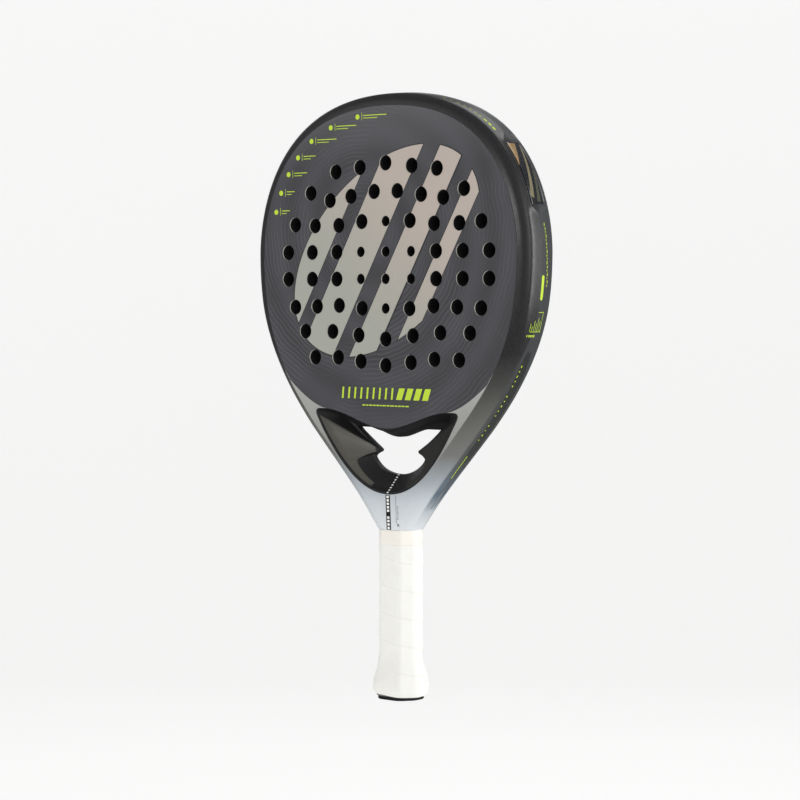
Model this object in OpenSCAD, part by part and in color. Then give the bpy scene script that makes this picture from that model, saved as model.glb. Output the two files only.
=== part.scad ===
// Padel racket: a hollow moulded frame round a drilled foam core, two face sheets,
// a moulded throat insert, and a wrapped handle closed by a butt cap.
// X runs across the face, Y through the thickness, Z from the butt to the crown.

/* [Overall] */
// Length from the butt to the crown
racket_len = 455; // [420:1:560]
// Greatest width of the head
head_w = 260; // [215:1:315]
// Thickness of the head
head_t = 38; // [31:1:46]

/* [Head outline] */
// Distance from the crown down to the widest point
crown_h = 120; // [100:1:145]
// How long the crown stays flat, as a share of half the head's width
crown_pull = 0.908; // [0.62:0.001:1.08]
// How long the outline stays upright above the widest point
shoulder_pull = 28; // [15:1:60]
// How long the outline stays upright below the widest point
waist_pull = 99; // [70:1:120]
// How long each cheek stays straight above the neck
cheek_pull = 106; // [80:1:130]
// Lean of each cheek where it leaves the neck, in degrees
cheek_angle = 37; // [30:0.5:45]

/* [Frame] */
// Width of the frame tube round the foam core
tube_w = 22; // [18:0.5:28]
// Wall of the frame tube
tube_wall = 2; // [1.2:0.1:3]
// Distance from the outer edge to the edge of the flat face
face_inset = 10; // [7:0.5:14]
// Width of the flat left on the frame round each face sheet
sheet_lip = 0.5; // [0.3:0.1:2]
// Depth of the front bevel round the head
bevel_d = 5; // [3:0.5:9]
// Extra depth of the bevel along the cheeks
cheek_bevel_d = 4; // [0:0.5:6]
// Depth of the sunk panels in the side wall
panel_d = 1.2; // [0.6:0.1:1.6]
// Thickness of the strips laid in the sunk panels
strip_t = 0.7; // [0.3:0.1:1.2]
// Gap all round a strip in its panel
strip_gap = 0.3; // [0.1:0.05:0.6]

/* [Face] */
// Thickness of each face sheet
sheet_t = 1; // [0.6:0.1:2]
// Diameter of the large face holes
hole_d = 11.5; // [8:0.5:14]
// Diameter of the small face holes near the centre
small_hole_d = 8; // [5:0.5:10]
// Clear distance from the frame tube to the outermost hole centres
hole_margin = 13; // [9:0.5:20]
// Distance from the bridge to the lowest hole centre
low_margin = 25; // [15:0.5:35]
// Distance from the frame tube at the crown to the highest hole centre
high_margin = 31; // [20:0.5:40]

/* [Throat] */
// Distance from the top of the handle to the lowest point of the throat
yoke_h = 27; // [22:0.5:40]
// Height of the throat opening at its corners
throat_h = 63; // [50:0.5:76]
// How far the top edge of the throat dips at the middle
throat_dip = 13.5; // [6:0.5:18]
// Level width of the frame between the throat corner and the outline
cheek_w = 22.5; // [18:0.5:28]
// Height of the bridge above the lowest point of its lower edge
bridge_h = 22; // [16:0.5:30]
// Wall of the bridge tube
bridge_wall = 2.5; // [1.5:0.1:4]
// Width of the rolled rim on the throat insert
insert_rim = 1.6; // [1:0.1:3]

/* [Handle] */
// Height of the top of the handle, where the neck starts
handle_top = 128; // [110:1:160]
// Width of the finished grip
grip_w = 33.8; // [28:0.1:41]
// Thickness of the finished grip
grip_t = 30.1; // [26:0.1:36]
// Thickness of the white overgrip
overgrip_t = 0.8; // [0.4:0.1:1.2]
// Thickness of the cushion grip under it
base_grip_t = 1.8; // [1:0.1:2.5]
// Wall of the handle tube
handle_wall = 1.6; // [1:0.1:2.5]
// Length of the handle tube that is bonded inside the neck
spigot_h = 20; // [12:0.5:24]
// Height of the finishing tape
tape_h = 11; // [6:0.5:20]
// Thickness of the finishing tape
tape_t = 0.3; // [0.1:0.05:0.35]
// How far the butt end swells beyond the grip, on each side
flare = 4.6; // [3:0.1:6]
// Height of the flared part of the grip
flare_h = 34; // [26:1:50]
// Height of the bare black edge of the butt cap
cap_edge_h = 3; // [1.5:0.1:5]
// Thickness of the bottom of the butt cap
cap_floor = 4; // [3:0.1:8]
// Height of the tacks that hold the butt cap
tack_z = 18; // [12:0.5:20]
// Diameter of the shank of each tack
tack_d = 1.8; // [1.2:0.1:2.6]
// Diameter of the hole for the wrist cord
cord_hole_d = 8; // [5:0.5:10]
// Diameter of the chamber for the cord's knot
knot_d = 15; // [11:0.5:18]

/* [Hidden] */
$fn = 48;

half_w = head_w / 2;
half_t = head_t / 2;
neck_w = grip_w;
neck_t = grip_t - 0.7;
// Height over which the rounded neck turns into the bevelled rim
neck_blend_h = 37;
widest_z = racket_len - crown_h;
cheek_steps = 30;
crown_steps = 24;
last_step = cheek_steps + crown_steps;
through = head_t + 20;

// Outline of the head: one curve from the neck to the widest point, one on to the crown
cheek_curve = [
    [neck_w / 2, handle_top],
    [neck_w / 2 + cheek_pull * sin(cheek_angle), handle_top + cheek_pull * cos(cheek_angle)],
    [half_w, widest_z - waist_pull],
    [half_w, widest_z]
];
crown_curve = [
    [half_w, widest_z],
    [half_w, widest_z + shoulder_pull],
    [crown_pull * half_w, racket_len],
    [0, racket_len]
];

function mix(a, b, t) = a * (1 - t) + b * t;
function clamp01(v) = min(1, max(0, v));
function smooth(v) = let (c = clamp01(v)) c * c * (3 - 2 * c);
function unit(v) = v / norm(v);
function flip(points) = [for (p = points) [-p[0], p[1]]];
function backwards(list) = [for (i = [len(list) - 1:-1:0]) list[i]];

function bezier(c, t) =
    pow(1 - t, 3) * c[0] + 3 * pow(1 - t, 2) * t * c[1]
    + 3 * (1 - t) * t * t * c[2] + pow(t, 3) * c[3];
function bezier_way(c, t) =
    pow(1 - t, 2) * (c[1] - c[0]) + 2 * (1 - t) * t * (c[2] - c[1]) + t * t * (c[3] - c[2]);
function corner_curve(a, b, c, t) = pow(1 - t, 2) * a + 2 * (1 - t) * t * b + t * t * c;

// Points of the right half of the outline, by step from the neck up to the crown
function on_cheek(k) = k <= cheek_steps;
function edge_point(k) =
    on_cheek(k) ? bezier(cheek_curve, k / cheek_steps)
                : bezier(crown_curve, (k - cheek_steps) / crown_steps);
function edge_way(k) =
    on_cheek(k) ? bezier_way(cheek_curve, k / cheek_steps)
                : bezier_way(crown_curve, (k - cheek_steps) / crown_steps);
function neck_share(z) = 1 - smooth((z - handle_top) / neck_blend_h);
function edge_normal(k) =
    let (w = unit(edge_way(k)), m = neck_share(edge_point(k)[1]))
    unit(mix([w[1], -w[0]], [1, 0], m));
function inset_point(k, d) = edge_point(k) - d * edge_normal(k);
function outline_x(z) = lookup(z, [for (k = [0:last_step]) [edge_point(k)[1], edge_point(k)[0]]]);

// Half thickness: full over the head, tapering down the cheeks to the neck
throat_low = handle_top + yoke_h;
throat_high = throat_low + throat_h;
throat_mid_z = throat_high - throat_dip;
function half_depth(z) =
    half_t - (half_t - neck_t / 2) * clamp01((throat_mid_z - z) / (throat_mid_z - handle_top));

// Sunk panels in the side wall: a long one down each cheek and a short one on each shoulder
strip_low = handle_top + 16;
strip_high = throat_high + 44;
strip_half = 4.6;
strip_end_share = 0.35;
strip_taper_low = 45;
strip_taper_high = 25;
shoulder_low = racket_len - 86;
shoulder_high = shoulder_low + 46;
shoulder_half = 10;
shoulder_margin = 6;
function in_range(z, low, high) = z > low && z < high;
function panel_half(z) =
    in_range(z, shoulder_low - shoulder_margin, shoulder_high + shoulder_margin) ? shoulder_half
    : strip_half * mix(strip_end_share, 1, smooth((z - strip_low) / strip_taper_low)
        * smooth((strip_high + 8 - z) / strip_taper_high));
function panel_depth(z) =
    in_range(z, strip_low, strip_high) || in_range(z, shoulder_low, shoulder_high) ? panel_d : 0;

// Half cross-section of the rim at a step: [inset from the outline, distance from mid-plane]
cheek_blend_low = throat_high + 17;
cheek_blend_h = 65;
ridge_in = 2;
ridge_in_cheek = 0.6;
wall_top_in = 1;
wall_top_drop = 2.6;
wall_in = 0.1;
neck_round = 12;
neck_angles = [90, 68, 45, 24, 10];
function rim_half(k) =
    let (
        z = edge_point(k)[1],
        b = half_depth(z),
        c = smooth((cheek_blend_low + cheek_blend_h - z) / cheek_blend_h),
        m = neck_share(z),
        ridge = bevel_d + cheek_bevel_d * c,
        lip = min(panel_half(z), b - ridge - wall_top_drop - 0.6),
        flat = face_inset + c,
        head = [
            [flat, b],
            [flat * 0.53, b - ridge * 0.34],
            [ridge_in - ridge_in_cheek * c, b - ridge],
            [wall_top_in - ridge_in_cheek / 2 * c, b - ridge - wall_top_drop],
            [wall_in, lip]
        ],
        neck = [for (a = neck_angles) [neck_round * (1 - cos(a)), b * sin(a)]],
        wall = [for (i = [0:4]) mix(head[i], neck[i], m)]
    )
    concat(wall, [wall[4] + [panel_depth(z), -0.4]]);
function rim_section(k) =
    let (front = rim_half(k)) concat(
        [for (p = front) [p[0], -p[1]]],
        [for (p = backwards(front)) p]
    );
function rim_ring(k, side) =
    [for (p = rim_section(k)) let (q = inset_point(k, p[0])) [side * q[0], p[1], q[1]]];

// A tube wall through a row of rings that all have the same number of points
function tube_faces(rings, n, closed) =
    [for (i = [0:rings - 2], j = [0:(closed ? n - 1 : n - 2)])
        let (a = i * n + j, b = i * n + (j + 1) % n) [a, b, b + n, a + n]];
module ring_stack(rings) {
    n = len(rings[0]);
    count = len(rings);
    polyhedron(
        points = [for (r = rings, p = r) p],
        faces = concat(
            tube_faces(count, n, true),
            [[for (j = [n - 1:-1:0]) j], [for (j = [0:n - 1]) (count - 1) * n + j]]
        ),
        convexity = 8
    );
}

// Everything the racket fills above the handle, as one closed shape
module racket_body() {
    rings = concat(
        [for (k = [0:last_step]) rim_ring(k, 1)],
        [for (k = [last_step - 1:-1:0]) rim_ring(k, -1)]
    );
    n = len(rings[0]);
    total = len(rings);
    far = total - 1;
    strips = [for (k = [0:last_step - 2]) [k, k + 1, far - k - 1, far - k]];
    crown = [last_step - 1, last_step, last_step + 1];
    polyhedron(
        points = [for (r = rings, p = r) p],
        faces = concat(
            tube_faces(total, n, false),
            [for (s = strips) [for (k = backwards(s)) k * n]],
            [for (s = strips) [for (k = s) k * n + n - 1]],
            [[for (k = backwards(crown)) k * n], [for (k = crown) k * n + n - 1]],
            [concat([for (j = [n - 1:-1:0]) j], [for (j = [0:n - 1]) far * n + j])]
        ),
        convexity = 12
    );
}

// A flat shape drawn in X and Z, made thick between two distances along Y
module slab(points, from, to) {
    translate([0, to, 0])
        rotate([90, 0, 0])
            linear_extrude(to - from, convexity = 12)
                polygon(points);
}

// Throat opening
throat_half_w = outline_x(throat_high) - cheek_w;
corner_r = 6;
dip_half = throat_half_w - 9;
function throat_top(x) =
    throat_mid_z + throat_dip * (1 - cos(180 * min(1, abs(x) / dip_half))) / 2;
function throat_side_z(x) = throat_low + throat_h * pow(x / (throat_half_w + 0.6), 2.1);
function throat_side_x(z) = (throat_half_w + 0.6) * pow((z - throat_low) / throat_h, 1 / 2.1);
top_steps = 14;
corner_steps = 6;
spur_steps = 8;
pocket_steps = 6;
low_steps = 18;
corner_top = [throat_half_w - corner_r, throat_top(throat_half_w - corner_r)];
corner_low = [throat_side_x(throat_high - corner_r), throat_high - corner_r];
spur_side = [throat_side_x(throat_low + throat_h * 0.42), throat_low + throat_h * 0.42];
pocket_side = [throat_side_x(throat_low + throat_h * 0.33), throat_low + throat_h * 0.33];
function side_point(z) = [throat_side_x(z), z];
throat_right = concat(
    [for (i = [0:top_steps - 1])
        let (x = corner_top[0] * i / top_steps) [x, throat_top(x)]],
    [for (i = [0:corner_steps - 1])
        corner_curve(corner_top, [throat_half_w + 0.6, throat_high], corner_low, i / corner_steps)],
    [for (i = [0:spur_steps - 1]) side_point(mix(corner_low[1], spur_side[1], i / spur_steps))],
    [for (i = [0:pocket_steps - 1])
        side_point(mix(spur_side[1], pocket_side[1], i / pocket_steps))],
    [for (i = [0:low_steps])
        let (x = pocket_side[0] * cos(90 * i / low_steps)) [x, throat_side_z(x)]]
);
throat_outline = concat(throat_right, [for (i = [len(throat_right) - 2:-1:1])
    [-throat_right[i][0], throat_right[i][1]]]);

// The narrowest outline of the throat insert, at mid-thickness, with its two spurs. It is
// drawn for a throat of these sizes, and stretched to fit.
drawn_half_w = 62.5;
drawn_h = 63;
sx = throat_half_w / drawn_half_w;
sz = throat_h / drawn_h;
function throat_place(x, z) = [x * sx, throat_low + z * sz];
gate_corner = throat_place(39.3, 49);
gate_dip = throat_place(0, 42.4);
spur_tip = throat_place(18, 32.3);
spur_round = throat_place(18.6, 30.8);
gate_notch = throat_place(25.3, 28);
gate_low = throat_place(26.5, 34);
gate_low_h = 19.7 * sz;
gate_top_half = 28 * sx;
function gate_top(x) =
    gate_dip[1] + (gate_corner[1] - gate_dip[1]) * (1 - cos(180 * clamp01(x / gate_top_half))) / 2;
notch_angle = acos(gate_notch[0] / gate_low[0]);
gate_right = concat(
    [for (i = [0:top_steps - 1]) let (x = gate_corner[0] * i / top_steps) [x, gate_top(x)]],
    [for (i = [0:corner_steps - 1])
        corner_curve(gate_corner, throat_place(29, 39), spur_tip, i / corner_steps)],
    [for (i = [0:spur_steps - 1]) mix(spur_tip, spur_round, i / spur_steps)],
    [for (i = [0:pocket_steps - 1]) mix(spur_round, gate_notch, i / pocket_steps)],
    [for (i = [0:low_steps])
        let (a = mix(notch_angle, 90, i / low_steps))
        [gate_low[0] * cos(a), gate_low[1] - gate_low_h * sin(a)]]
);
// Where the funnel wall turns between the rim and the gate, as shares of the way across
// and of the way down, at each step round the throat
turn_steps = [
    0, top_steps, top_steps + corner_steps / 2, top_steps + corner_steps,
    top_steps + corner_steps + spur_steps,
    top_steps + corner_steps + spur_steps + pocket_steps,
    top_steps + corner_steps + spur_steps + pocket_steps + low_steps
];
turn_across = [0.5, 0.5, 0.72, 0.93, 0.93, 0.45, 0.1];
turn_down = [0.62, 0.8, 0.97, 0.93, 0.93, 0.3, 0.12];
function at_step(i, values) = lookup(i, [for (n = [0:6]) [turn_steps[n], values[n]]]);
land = 2.5;
rim_roll = 0.6;
middle = [0, throat_low + throat_h * 0.6];
function shrink(p, d) = p - d * unit(p - middle);
function insert_loop(right, depths, side) =
    let (
        a = [for (i = [0:len(right) - 1]) [right[i][0], side * depths[i], right[i][1]]],
        b = [for (i = [len(right) - 2:-1:1]) [-a[i][0], a[i][1], a[i][2]]]
    ) concat(a, b);
module throat_insert(side) {
    steps = len(throat_right) - 1;
    rim = [for (p = throat_right) shrink(p, insert_rim)];
    rim_y = [for (p = throat_right) half_depth(p[1])];
    lip = [for (p = throat_right) shrink(p, insert_rim + 0.8)];
    lip_y = [for (y = rim_y) y - rim_roll - 0.6];
    crease = [for (i = [0:steps]) mix(lip[i], gate_right[i], at_step(i, turn_across))];
    crease_y = [for (i = [0:steps]) mix(lip_y[i], land, at_step(i, turn_down))];
    flat_y = [for (i = [0:steps]) land];
    zero_y = [for (i = [0:steps]) 0];
    loops = [
        insert_loop(throat_right, zero_y, side),
        insert_loop(throat_right, rim_y, side),
        insert_loop(rim, rim_y, side),
        insert_loop(lip, lip_y, side),
        insert_loop(crease, crease_y, side),
        insert_loop(gate_right, flat_y, side),
        insert_loop(gate_right, zero_y, side)
    ];
    n = len(loops[0]);
    rows = len(loops);
    faces = [for (i = [0:rows - 1], j = [0:n - 1])
        let (a = i * n + j, b = i * n + (j + 1) % n, c = ((i + 1) % rows) * n)
        [a, b, c + (j + 1) % n, c + j]];
    polyhedron(
        points = [for (l = loops, p = l) p],
        faces = side > 0 ? faces : [for (f = faces) backwards(f)],
        convexity = 8
    );
}

// Foam core: the outline drawn in by the tube, closed below by the bridge
bridge_top_z = throat_mid_z + bridge_h;
core_corner_rise = 24;
core_corner_z = bridge_top_z + core_corner_rise;
core_steps = [for (k = [0:last_step]) if (inset_point(k, tube_w)[1] > core_corner_z) k];
core_sides = [for (k = core_steps) inset_point(k, tube_w)];
core_corner = core_sides[0];
function core_low(x) =
    bridge_top_z + (core_corner[1] - bridge_top_z) * pow(x / core_corner[0], 2);
arc_steps = 16;
core_outline = concat(
    [for (i = [1:arc_steps - 1])
        let (x = core_corner[0] * (2 * i / arc_steps - 1)) [x, core_low(x)]],
    core_sides,
    [for (i = [len(core_sides) - 2:-1:0]) [-core_sides[i][0], core_sides[i][1]]]
);

// Face sheet: the outline drawn in by the bevel, with a tongue down to the throat
tongue_half = throat_half_w - 12.5;
sheet_corner_z = throat_high + 20;
sheet_inset = face_inset + sheet_lip;
sheet_steps = [for (k = [0:last_step]) if (inset_point(k, sheet_inset)[1] > sheet_corner_z) k];
sheet_sides = [for (k = sheet_steps) inset_point(k, sheet_inset)];
sheet_corner = sheet_sides[0];
function sheet_low(x) =
    abs(x) <= tongue_half ? throat_top(x)
    : throat_top(tongue_half) + (sheet_corner[1] - throat_top(tongue_half))
        * pow((abs(x) - tongue_half) / (sheet_corner[0] - tongue_half), 1.55);
tongue_right = [for (p = throat_right) if (p[0] < tongue_half && p[1] > throat_mid_z - 1) p];
wing_right = [for (i = [0:7])
    let (x = mix(tongue_half, sheet_corner[0], i / 8)) [x, sheet_low(x)]];
sheet_right = concat(tongue_right, wing_right, sheet_sides);
sheet_outline = concat(sheet_right, [for (i = [len(sheet_right) - 2:-1:1])
    [-sheet_right[i][0], sheet_right[i][1]]]);

// Bridge between the core and the throat, hidden under the tongues of the sheets
bridge_half = tongue_half - 1;
function edge_z(points, x) = lookup(x, points);
function span(points, half) =
    concat(
        [[-half, edge_z(points, -half)]],
        [for (p = points) if (abs(p[0]) < half) p],
        [[half, edge_z(points, half)]]
    );
throat_line = [for (p = throat_right) if (p[1] > throat_mid_z - 1 && p[0] < corner_top[0]) p];
bridge_low_line = concat(backwards(flip([for (p = throat_line) if (p[0] > 0) p])), throat_line);
core_line = [for (i = [0:arc_steps])
    let (x = core_corner[0] * (2 * i / arc_steps - 1)) [x, core_low(x)]];
function bridge_outline(wall, past) =
    concat(
        [for (p = span(bridge_low_line, bridge_half - wall)) p + [0, wall - past]],
        [for (p = backwards(span(core_line, bridge_half - wall))) p + [0, past - wall]]
    );

// Face holes, as [column, row] from the middle of the pattern, for the right half
hole_pitch_x = (half_w - tube_w - hole_margin) / 4;
pattern_h = racket_len - tube_w - high_margin - bridge_top_z - low_margin;
rows_up = 3.66;
rows_down = 3.6;
hole_pitch_z = pattern_h / (rows_up + rows_down);
pattern_z = bridge_top_z + low_margin + rows_down * hole_pitch_z;
large_holes = [
    [0, rows_up], [1.03, 3.53], [2.01, 3.4],
    [0.46, 2.65], [1.4, 2.5], [2.25, 2.37], [3.05, 2.66],
    [0.96, 1.58], [1.9, 1.46], [2.87, 1.46], [3.7, 1.51],
    [1.98, 0.49], [3, 0.49], [4, 0.49],
    [1.98, -0.49], [3, -0.49], [4, -0.49],
    [0.95, -1.55], [1.88, -1.45], [2.79, -1.49], [3.7, -1.52],
    [0, -2.65], [1.08, -2.52], [2.15, -2.4], [3.28, -2.4],
    [0, -rows_down], [1, -3.47], [1.92, -3.34], [2.87, -3.35]
];
small_holes = [[0, 1.58], [0, 0.49], [1, 0.49], [0, -0.49], [1, -0.49], [0, -1.55]];
module hole_row(plan, d, from, to) {
    for (h = plan, side = h[0] == 0 ? [1] : [-1, 1])
        translate([side * h[0] * hole_pitch_x, to, pattern_z + h[1] * hole_pitch_z])
            rotate([90, 0, 0])
                cylinder(h = to - from, d = d);
}
module face_holes(from, to) {
    hole_row(large_holes, hole_d, from - 1, to + 1);
    hole_row(small_holes, small_hole_d, from - 1, to + 1);
}

// Hollow inside the frame tube, from one cheek round the head to the other
hollow_low_z = throat_low + 24;
hollow_cheek_w = 9.5;
hollow_steps = [for (k = [0:last_step]) if (edge_point(k)[1] > hollow_low_z) k];
function hollow_section(k) =
    let (
        z = edge_point(k)[1],
        b = half_depth(z) - sheet_t - tube_wall,
        w = mix(hollow_cheek_w, tube_w, smooth((z - throat_high) / 60)) - tube_wall,
        front = [
            [w, b],
            [min(w - 1.5, face_inset + 1), b],
            [tube_wall + 1.8, b - bevel_d - cheek_bevel_d + 1],
            [tube_wall + panel_d + 0.6, 4]
        ]
    ) concat([for (p = front) [p[0], -p[1]]], backwards(front));
function hollow_ring(k, side) =
    [for (p = hollow_section(k)) let (q = inset_point(k, p[0])) [side * q[0], p[1], q[1]]];
module frame_hollow() {
    ring_stack(concat(
        [for (k = hollow_steps) backwards(hollow_ring(k, 1))],
        [for (i = [len(hollow_steps) - 2:-1:0]) backwards(hollow_ring(hollow_steps[i], -1))]
    ));
}

// Eight-sided section with eased corners, shared by every piece of the handle
front_share = 0.265;
side_share = 0.163;
corner_growth = 0.45;
easing = 0.25;
function grip_loop(extra) =
    let (
        a = grip_w / 2 + extra,
        b = grip_t / 2 + extra,
        u = grip_w * front_share + extra * corner_growth,
        v = grip_t * side_share + extra * corner_growth,
        c = [[u, -b], [a, -v], [a, v], [u, b], [-u, b], [-a, v], [-a, -v], [-u, -b]]
    )
    [for (i = [7:-1:0], t = [0, 0.5, 1])
        let (p = c[i], q = c[(i + 1) % 8], r = c[(i + 7) % 8])
        corner_curve(mix(p, q, easing), p, mix(p, r, easing), t)];
function grip_ring(extra, z) = [for (p = grip_loop(extra)) [p[0], p[1], z]];
edge_flare = 0.6;
widest_share = 0.17;
function flare_at(z) =
    let (s = (z - cap_edge_h) / (flare_h - cap_edge_h))
    z >= flare_h ? 0
    : flare * (s < widest_share ? mix(edge_flare, 1, sin(90 * s / widest_share))
        : mix(1, 0, smooth((s - widest_share) / (1 - widest_share))));
flare_rows = [for (i = [0:10]) mix(cap_edge_h, flare_h, i / 10)];
bare = -overgrip_t - base_grip_t;

// A sleeve on the handle from the butt cap up, with its own outside and inside. Above
// recess_z its outside is drawn in, so that the finishing tape lies flush.
module grip_sleeve(outside, inside, high, recess_z, recess) {
    outer = concat(
        [for (z = flare_rows) grip_ring(outside + flare_at(z), z)],
        recess > 0 ? [grip_ring(outside, recess_z), grip_ring(outside - recess, recess_z + 0.1)] : [],
        [grip_ring(outside - recess, high)]
    );
    inner = concat(
        [grip_ring(inside + flare_at(cap_edge_h), cap_edge_h - 1)],
        [for (z = flare_rows) grip_ring(inside + flare_at(z), z)],
        [grip_ring(inside, high + 1)]
    );
    difference() {
        ring_stack(outer);
        ring_stack(inner);
    }
}
module handle_prism(extra, low, high) {
    translate([0, 0, low])
        linear_extrude(high - low)
            polygon(grip_loop(extra));
}
module tack_bore(d, from, to) {
    for (side = [-1, 1])
        translate([side * from, 0, tack_z])
            rotate([0, side * 90, 0])
                cylinder(h = to - from, d = d);
}

// Sunk strips: one row of quads that follows the side wall
module side_patch(low, high, side) {
    steps = [for (k = [0:last_step]) if (in_range(edge_point(k)[1], low, high)) k];
    rings = [for (k = steps)
        let (
            p = rim_half(k)[5],
            y = p[1] - strip_gap,
            base = inset_point(k, p[0]),
            top = inset_point(k, p[0] - strip_t)
        ) [
            [side * base[0], -y, base[1]], [side * top[0], -y, top[1]],
            [side * top[0], y, top[1]], [side * base[0], y, base[1]]
        ]];
    ring_stack(side > 0 ? rings : [for (r = rings) backwards(r)]);
}

module frame_tube() {
    color("dimgray")
        difference() {
            racket_body();
            slab(core_outline, -through, through);
            slab(sheet_outline, -through, -half_t + sheet_t);
            slab(sheet_outline, half_t - sheet_t, through);
            slab(throat_outline, -through, through);
            slab(bridge_outline(0, 1), -through, through);
            frame_hollow();
            handle_prism(bare, handle_top - 1, handle_top + spigot_h);
        }
}

module bridge_tube() {
    color("darkslategray")
        difference() {
            slab(bridge_outline(0, 0), -half_t + sheet_t, half_t - sheet_t);
            slab(bridge_outline(bridge_wall, 0), -half_t + sheet_t + bridge_wall,
                half_t - sheet_t - bridge_wall);
        }
}

module bridge_core() {
    color("dimgray")
        slab(bridge_outline(bridge_wall, 0), -half_t + sheet_t + bridge_wall,
            half_t - sheet_t - bridge_wall);
}

module foam_core() {
    color("black")
        difference() {
            slab(core_outline, -half_t + sheet_t, half_t - sheet_t);
            face_holes(-half_t, half_t);
        }
}

module face_sheet(from, to) {
    color("slategray")
        difference() {
            slab(sheet_outline, from, to);
            face_holes(from, to);
        }
}

module face_front() {
    face_sheet(-half_t, -half_t + sheet_t);
}

module face_back() {
    face_sheet(half_t - sheet_t, half_t);
}

module throat_insert_front() {
    color("black")
        throat_insert(-1);
}

module throat_insert_back() {
    color("black")
        throat_insert(1);
}

module side_strip(side) {
    color("darkslategray")
        side_patch(strip_low, strip_high, side);
}

module shoulder_panel(side) {
    color("black")
        side_patch(shoulder_low, shoulder_high, side);
}

// Printed film down the front of the neck
label_half = 2;
label_t = 0.2;
module neck_label() {
    color("black")
        ring_stack([for (z = [handle_top + 0.5, throat_low - 0.5])
            let (b = half_depth(z)) [
                [-label_half, -b, z], [label_half, -b, z],
                [label_half, -b - label_t, z], [-label_half, -b - label_t, z]
            ]]);
}

tack_depth = 6;
tack_seat = grip_w / 2 + bare + 1.2;
tack_head_t = 0.8;
tack_head_d = tack_d * 2.3;
module handle_tube() {
    color("darkslategray")
        difference() {
            handle_prism(bare, cap_floor, handle_top + spigot_h);
            handle_prism(bare - handle_wall, cap_floor - 1, handle_top + spigot_h + 1);
            tack_bore(tack_d, tack_seat - tack_depth, tack_seat);
        }
}

knot_h = 26;
module handle_core() {
    color("beige")
        difference() {
            handle_prism(bare - handle_wall, cap_floor, handle_top + spigot_h);
            translate([0, 0, cap_floor - 1])
                cylinder(h = knot_h + 1, d = knot_d);
            tack_bore(tack_d, tack_seat - tack_depth, tack_seat);
        }
}

skirt_top = flare_h - 8;
module butt_cap() {
    edge = bare + flare * edge_flare + 0.8;
    rows = [for (z = flare_rows) if (z < skirt_top) z];
    color("black")
        difference() {
            union() {
                ring_stack([
                    grip_ring(edge - 1.2, 0), grip_ring(edge, 1), grip_ring(edge, cap_edge_h)
                ]);
                ring_stack(concat(
                    [for (z = rows) grip_ring(bare + flare_at(z), z)],
                    [grip_ring(bare + flare_at(skirt_top), skirt_top)]
                ));
            }
            handle_prism(bare, cap_floor, flare_h);
            translate([0, 0, -1])
                cylinder(h = cap_floor + 2, d = cord_hole_d);
            tack_bore(tack_d, tack_seat - tack_depth, tack_seat);
            tack_bore(tack_head_d, tack_seat, tack_seat + 12);
        }
}

module cap_tacks() {
    color("silver") {
        tack_bore(tack_d, tack_seat - tack_depth, tack_seat);
        tack_bore(tack_head_d, tack_seat, tack_seat + tack_head_t);
    }
}

grip_end = handle_top - 0.6;
tape_z = handle_top - tape_h;
module base_grip() {
    color("gray")
        grip_sleeve(-overgrip_t, bare, grip_end, tape_z, 0);
}

module overgrip() {
    color("white")
        grip_sleeve(0, -overgrip_t, grip_end, tape_z - 0.1, tape_t);
}

module finishing_tape() {
    color("ivory")
        difference() {
            handle_prism(0, tape_z, handle_top);
            handle_prism(-tape_t, tape_z - 1, handle_top + 1);
        }
}

frame_tube();
bridge_tube();
bridge_core();
foam_core();
face_front();
face_back();
throat_insert_front();
throat_insert_back();
side_strip(1);  // side_strip_right
side_strip(-1);  // side_strip_left
shoulder_panel(1);  // shoulder_panel_right
shoulder_panel(-1);  // shoulder_panel_left
neck_label();
handle_tube();
handle_core();
base_grip();
overgrip();
finishing_tape();
butt_cap();
cap_tacks();
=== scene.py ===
import math

import bmesh
import bpy
import numpy as np
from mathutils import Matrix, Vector, geometry


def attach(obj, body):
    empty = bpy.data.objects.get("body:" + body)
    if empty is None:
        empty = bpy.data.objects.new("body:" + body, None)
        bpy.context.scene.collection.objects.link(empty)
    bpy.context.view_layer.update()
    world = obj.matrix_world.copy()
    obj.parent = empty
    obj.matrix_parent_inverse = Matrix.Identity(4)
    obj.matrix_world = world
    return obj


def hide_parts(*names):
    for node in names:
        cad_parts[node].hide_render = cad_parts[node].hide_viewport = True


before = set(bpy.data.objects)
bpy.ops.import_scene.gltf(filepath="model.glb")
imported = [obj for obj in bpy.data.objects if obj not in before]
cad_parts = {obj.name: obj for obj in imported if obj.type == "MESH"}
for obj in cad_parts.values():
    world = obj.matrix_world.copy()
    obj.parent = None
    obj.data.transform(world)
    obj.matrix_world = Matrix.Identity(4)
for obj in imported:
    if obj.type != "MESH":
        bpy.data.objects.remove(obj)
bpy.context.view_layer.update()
print("frame loaded:", len(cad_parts), "nodes")

# lengths are written in millimetres and turned into metres where a mesh is made
mm = 0.001

head = {
    "length": 455,
    "width": 260,
    "thickness": 38,
    "crownHeight": 120,
    "crownPull": 118.04,
    "shoulderPull": 28,
    "waistPull": 99,
    "cheekPull": 106,
    "cheekAngle": 37,
    "neckTop": 128,
    "neckWidth": 33.8,
    "neckThickness": 29.4,
    "neckBlend": 37,
    "neckRound": 12,
    "faceInset": 10,
    "sheetLip": 0.5,
    "sheetThickness": 1,
    "sheetCornerRise": 20,
    "wingPower": 1.55,
    "bevel": 5,
    "cheekBevel": 4,
    "cheekRise": 82,
    "cheekBlend": 65,
    "wallDrop": 2.6,
    "lipClear": 3.2,
    "lipInset": 0.1,
}

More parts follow.
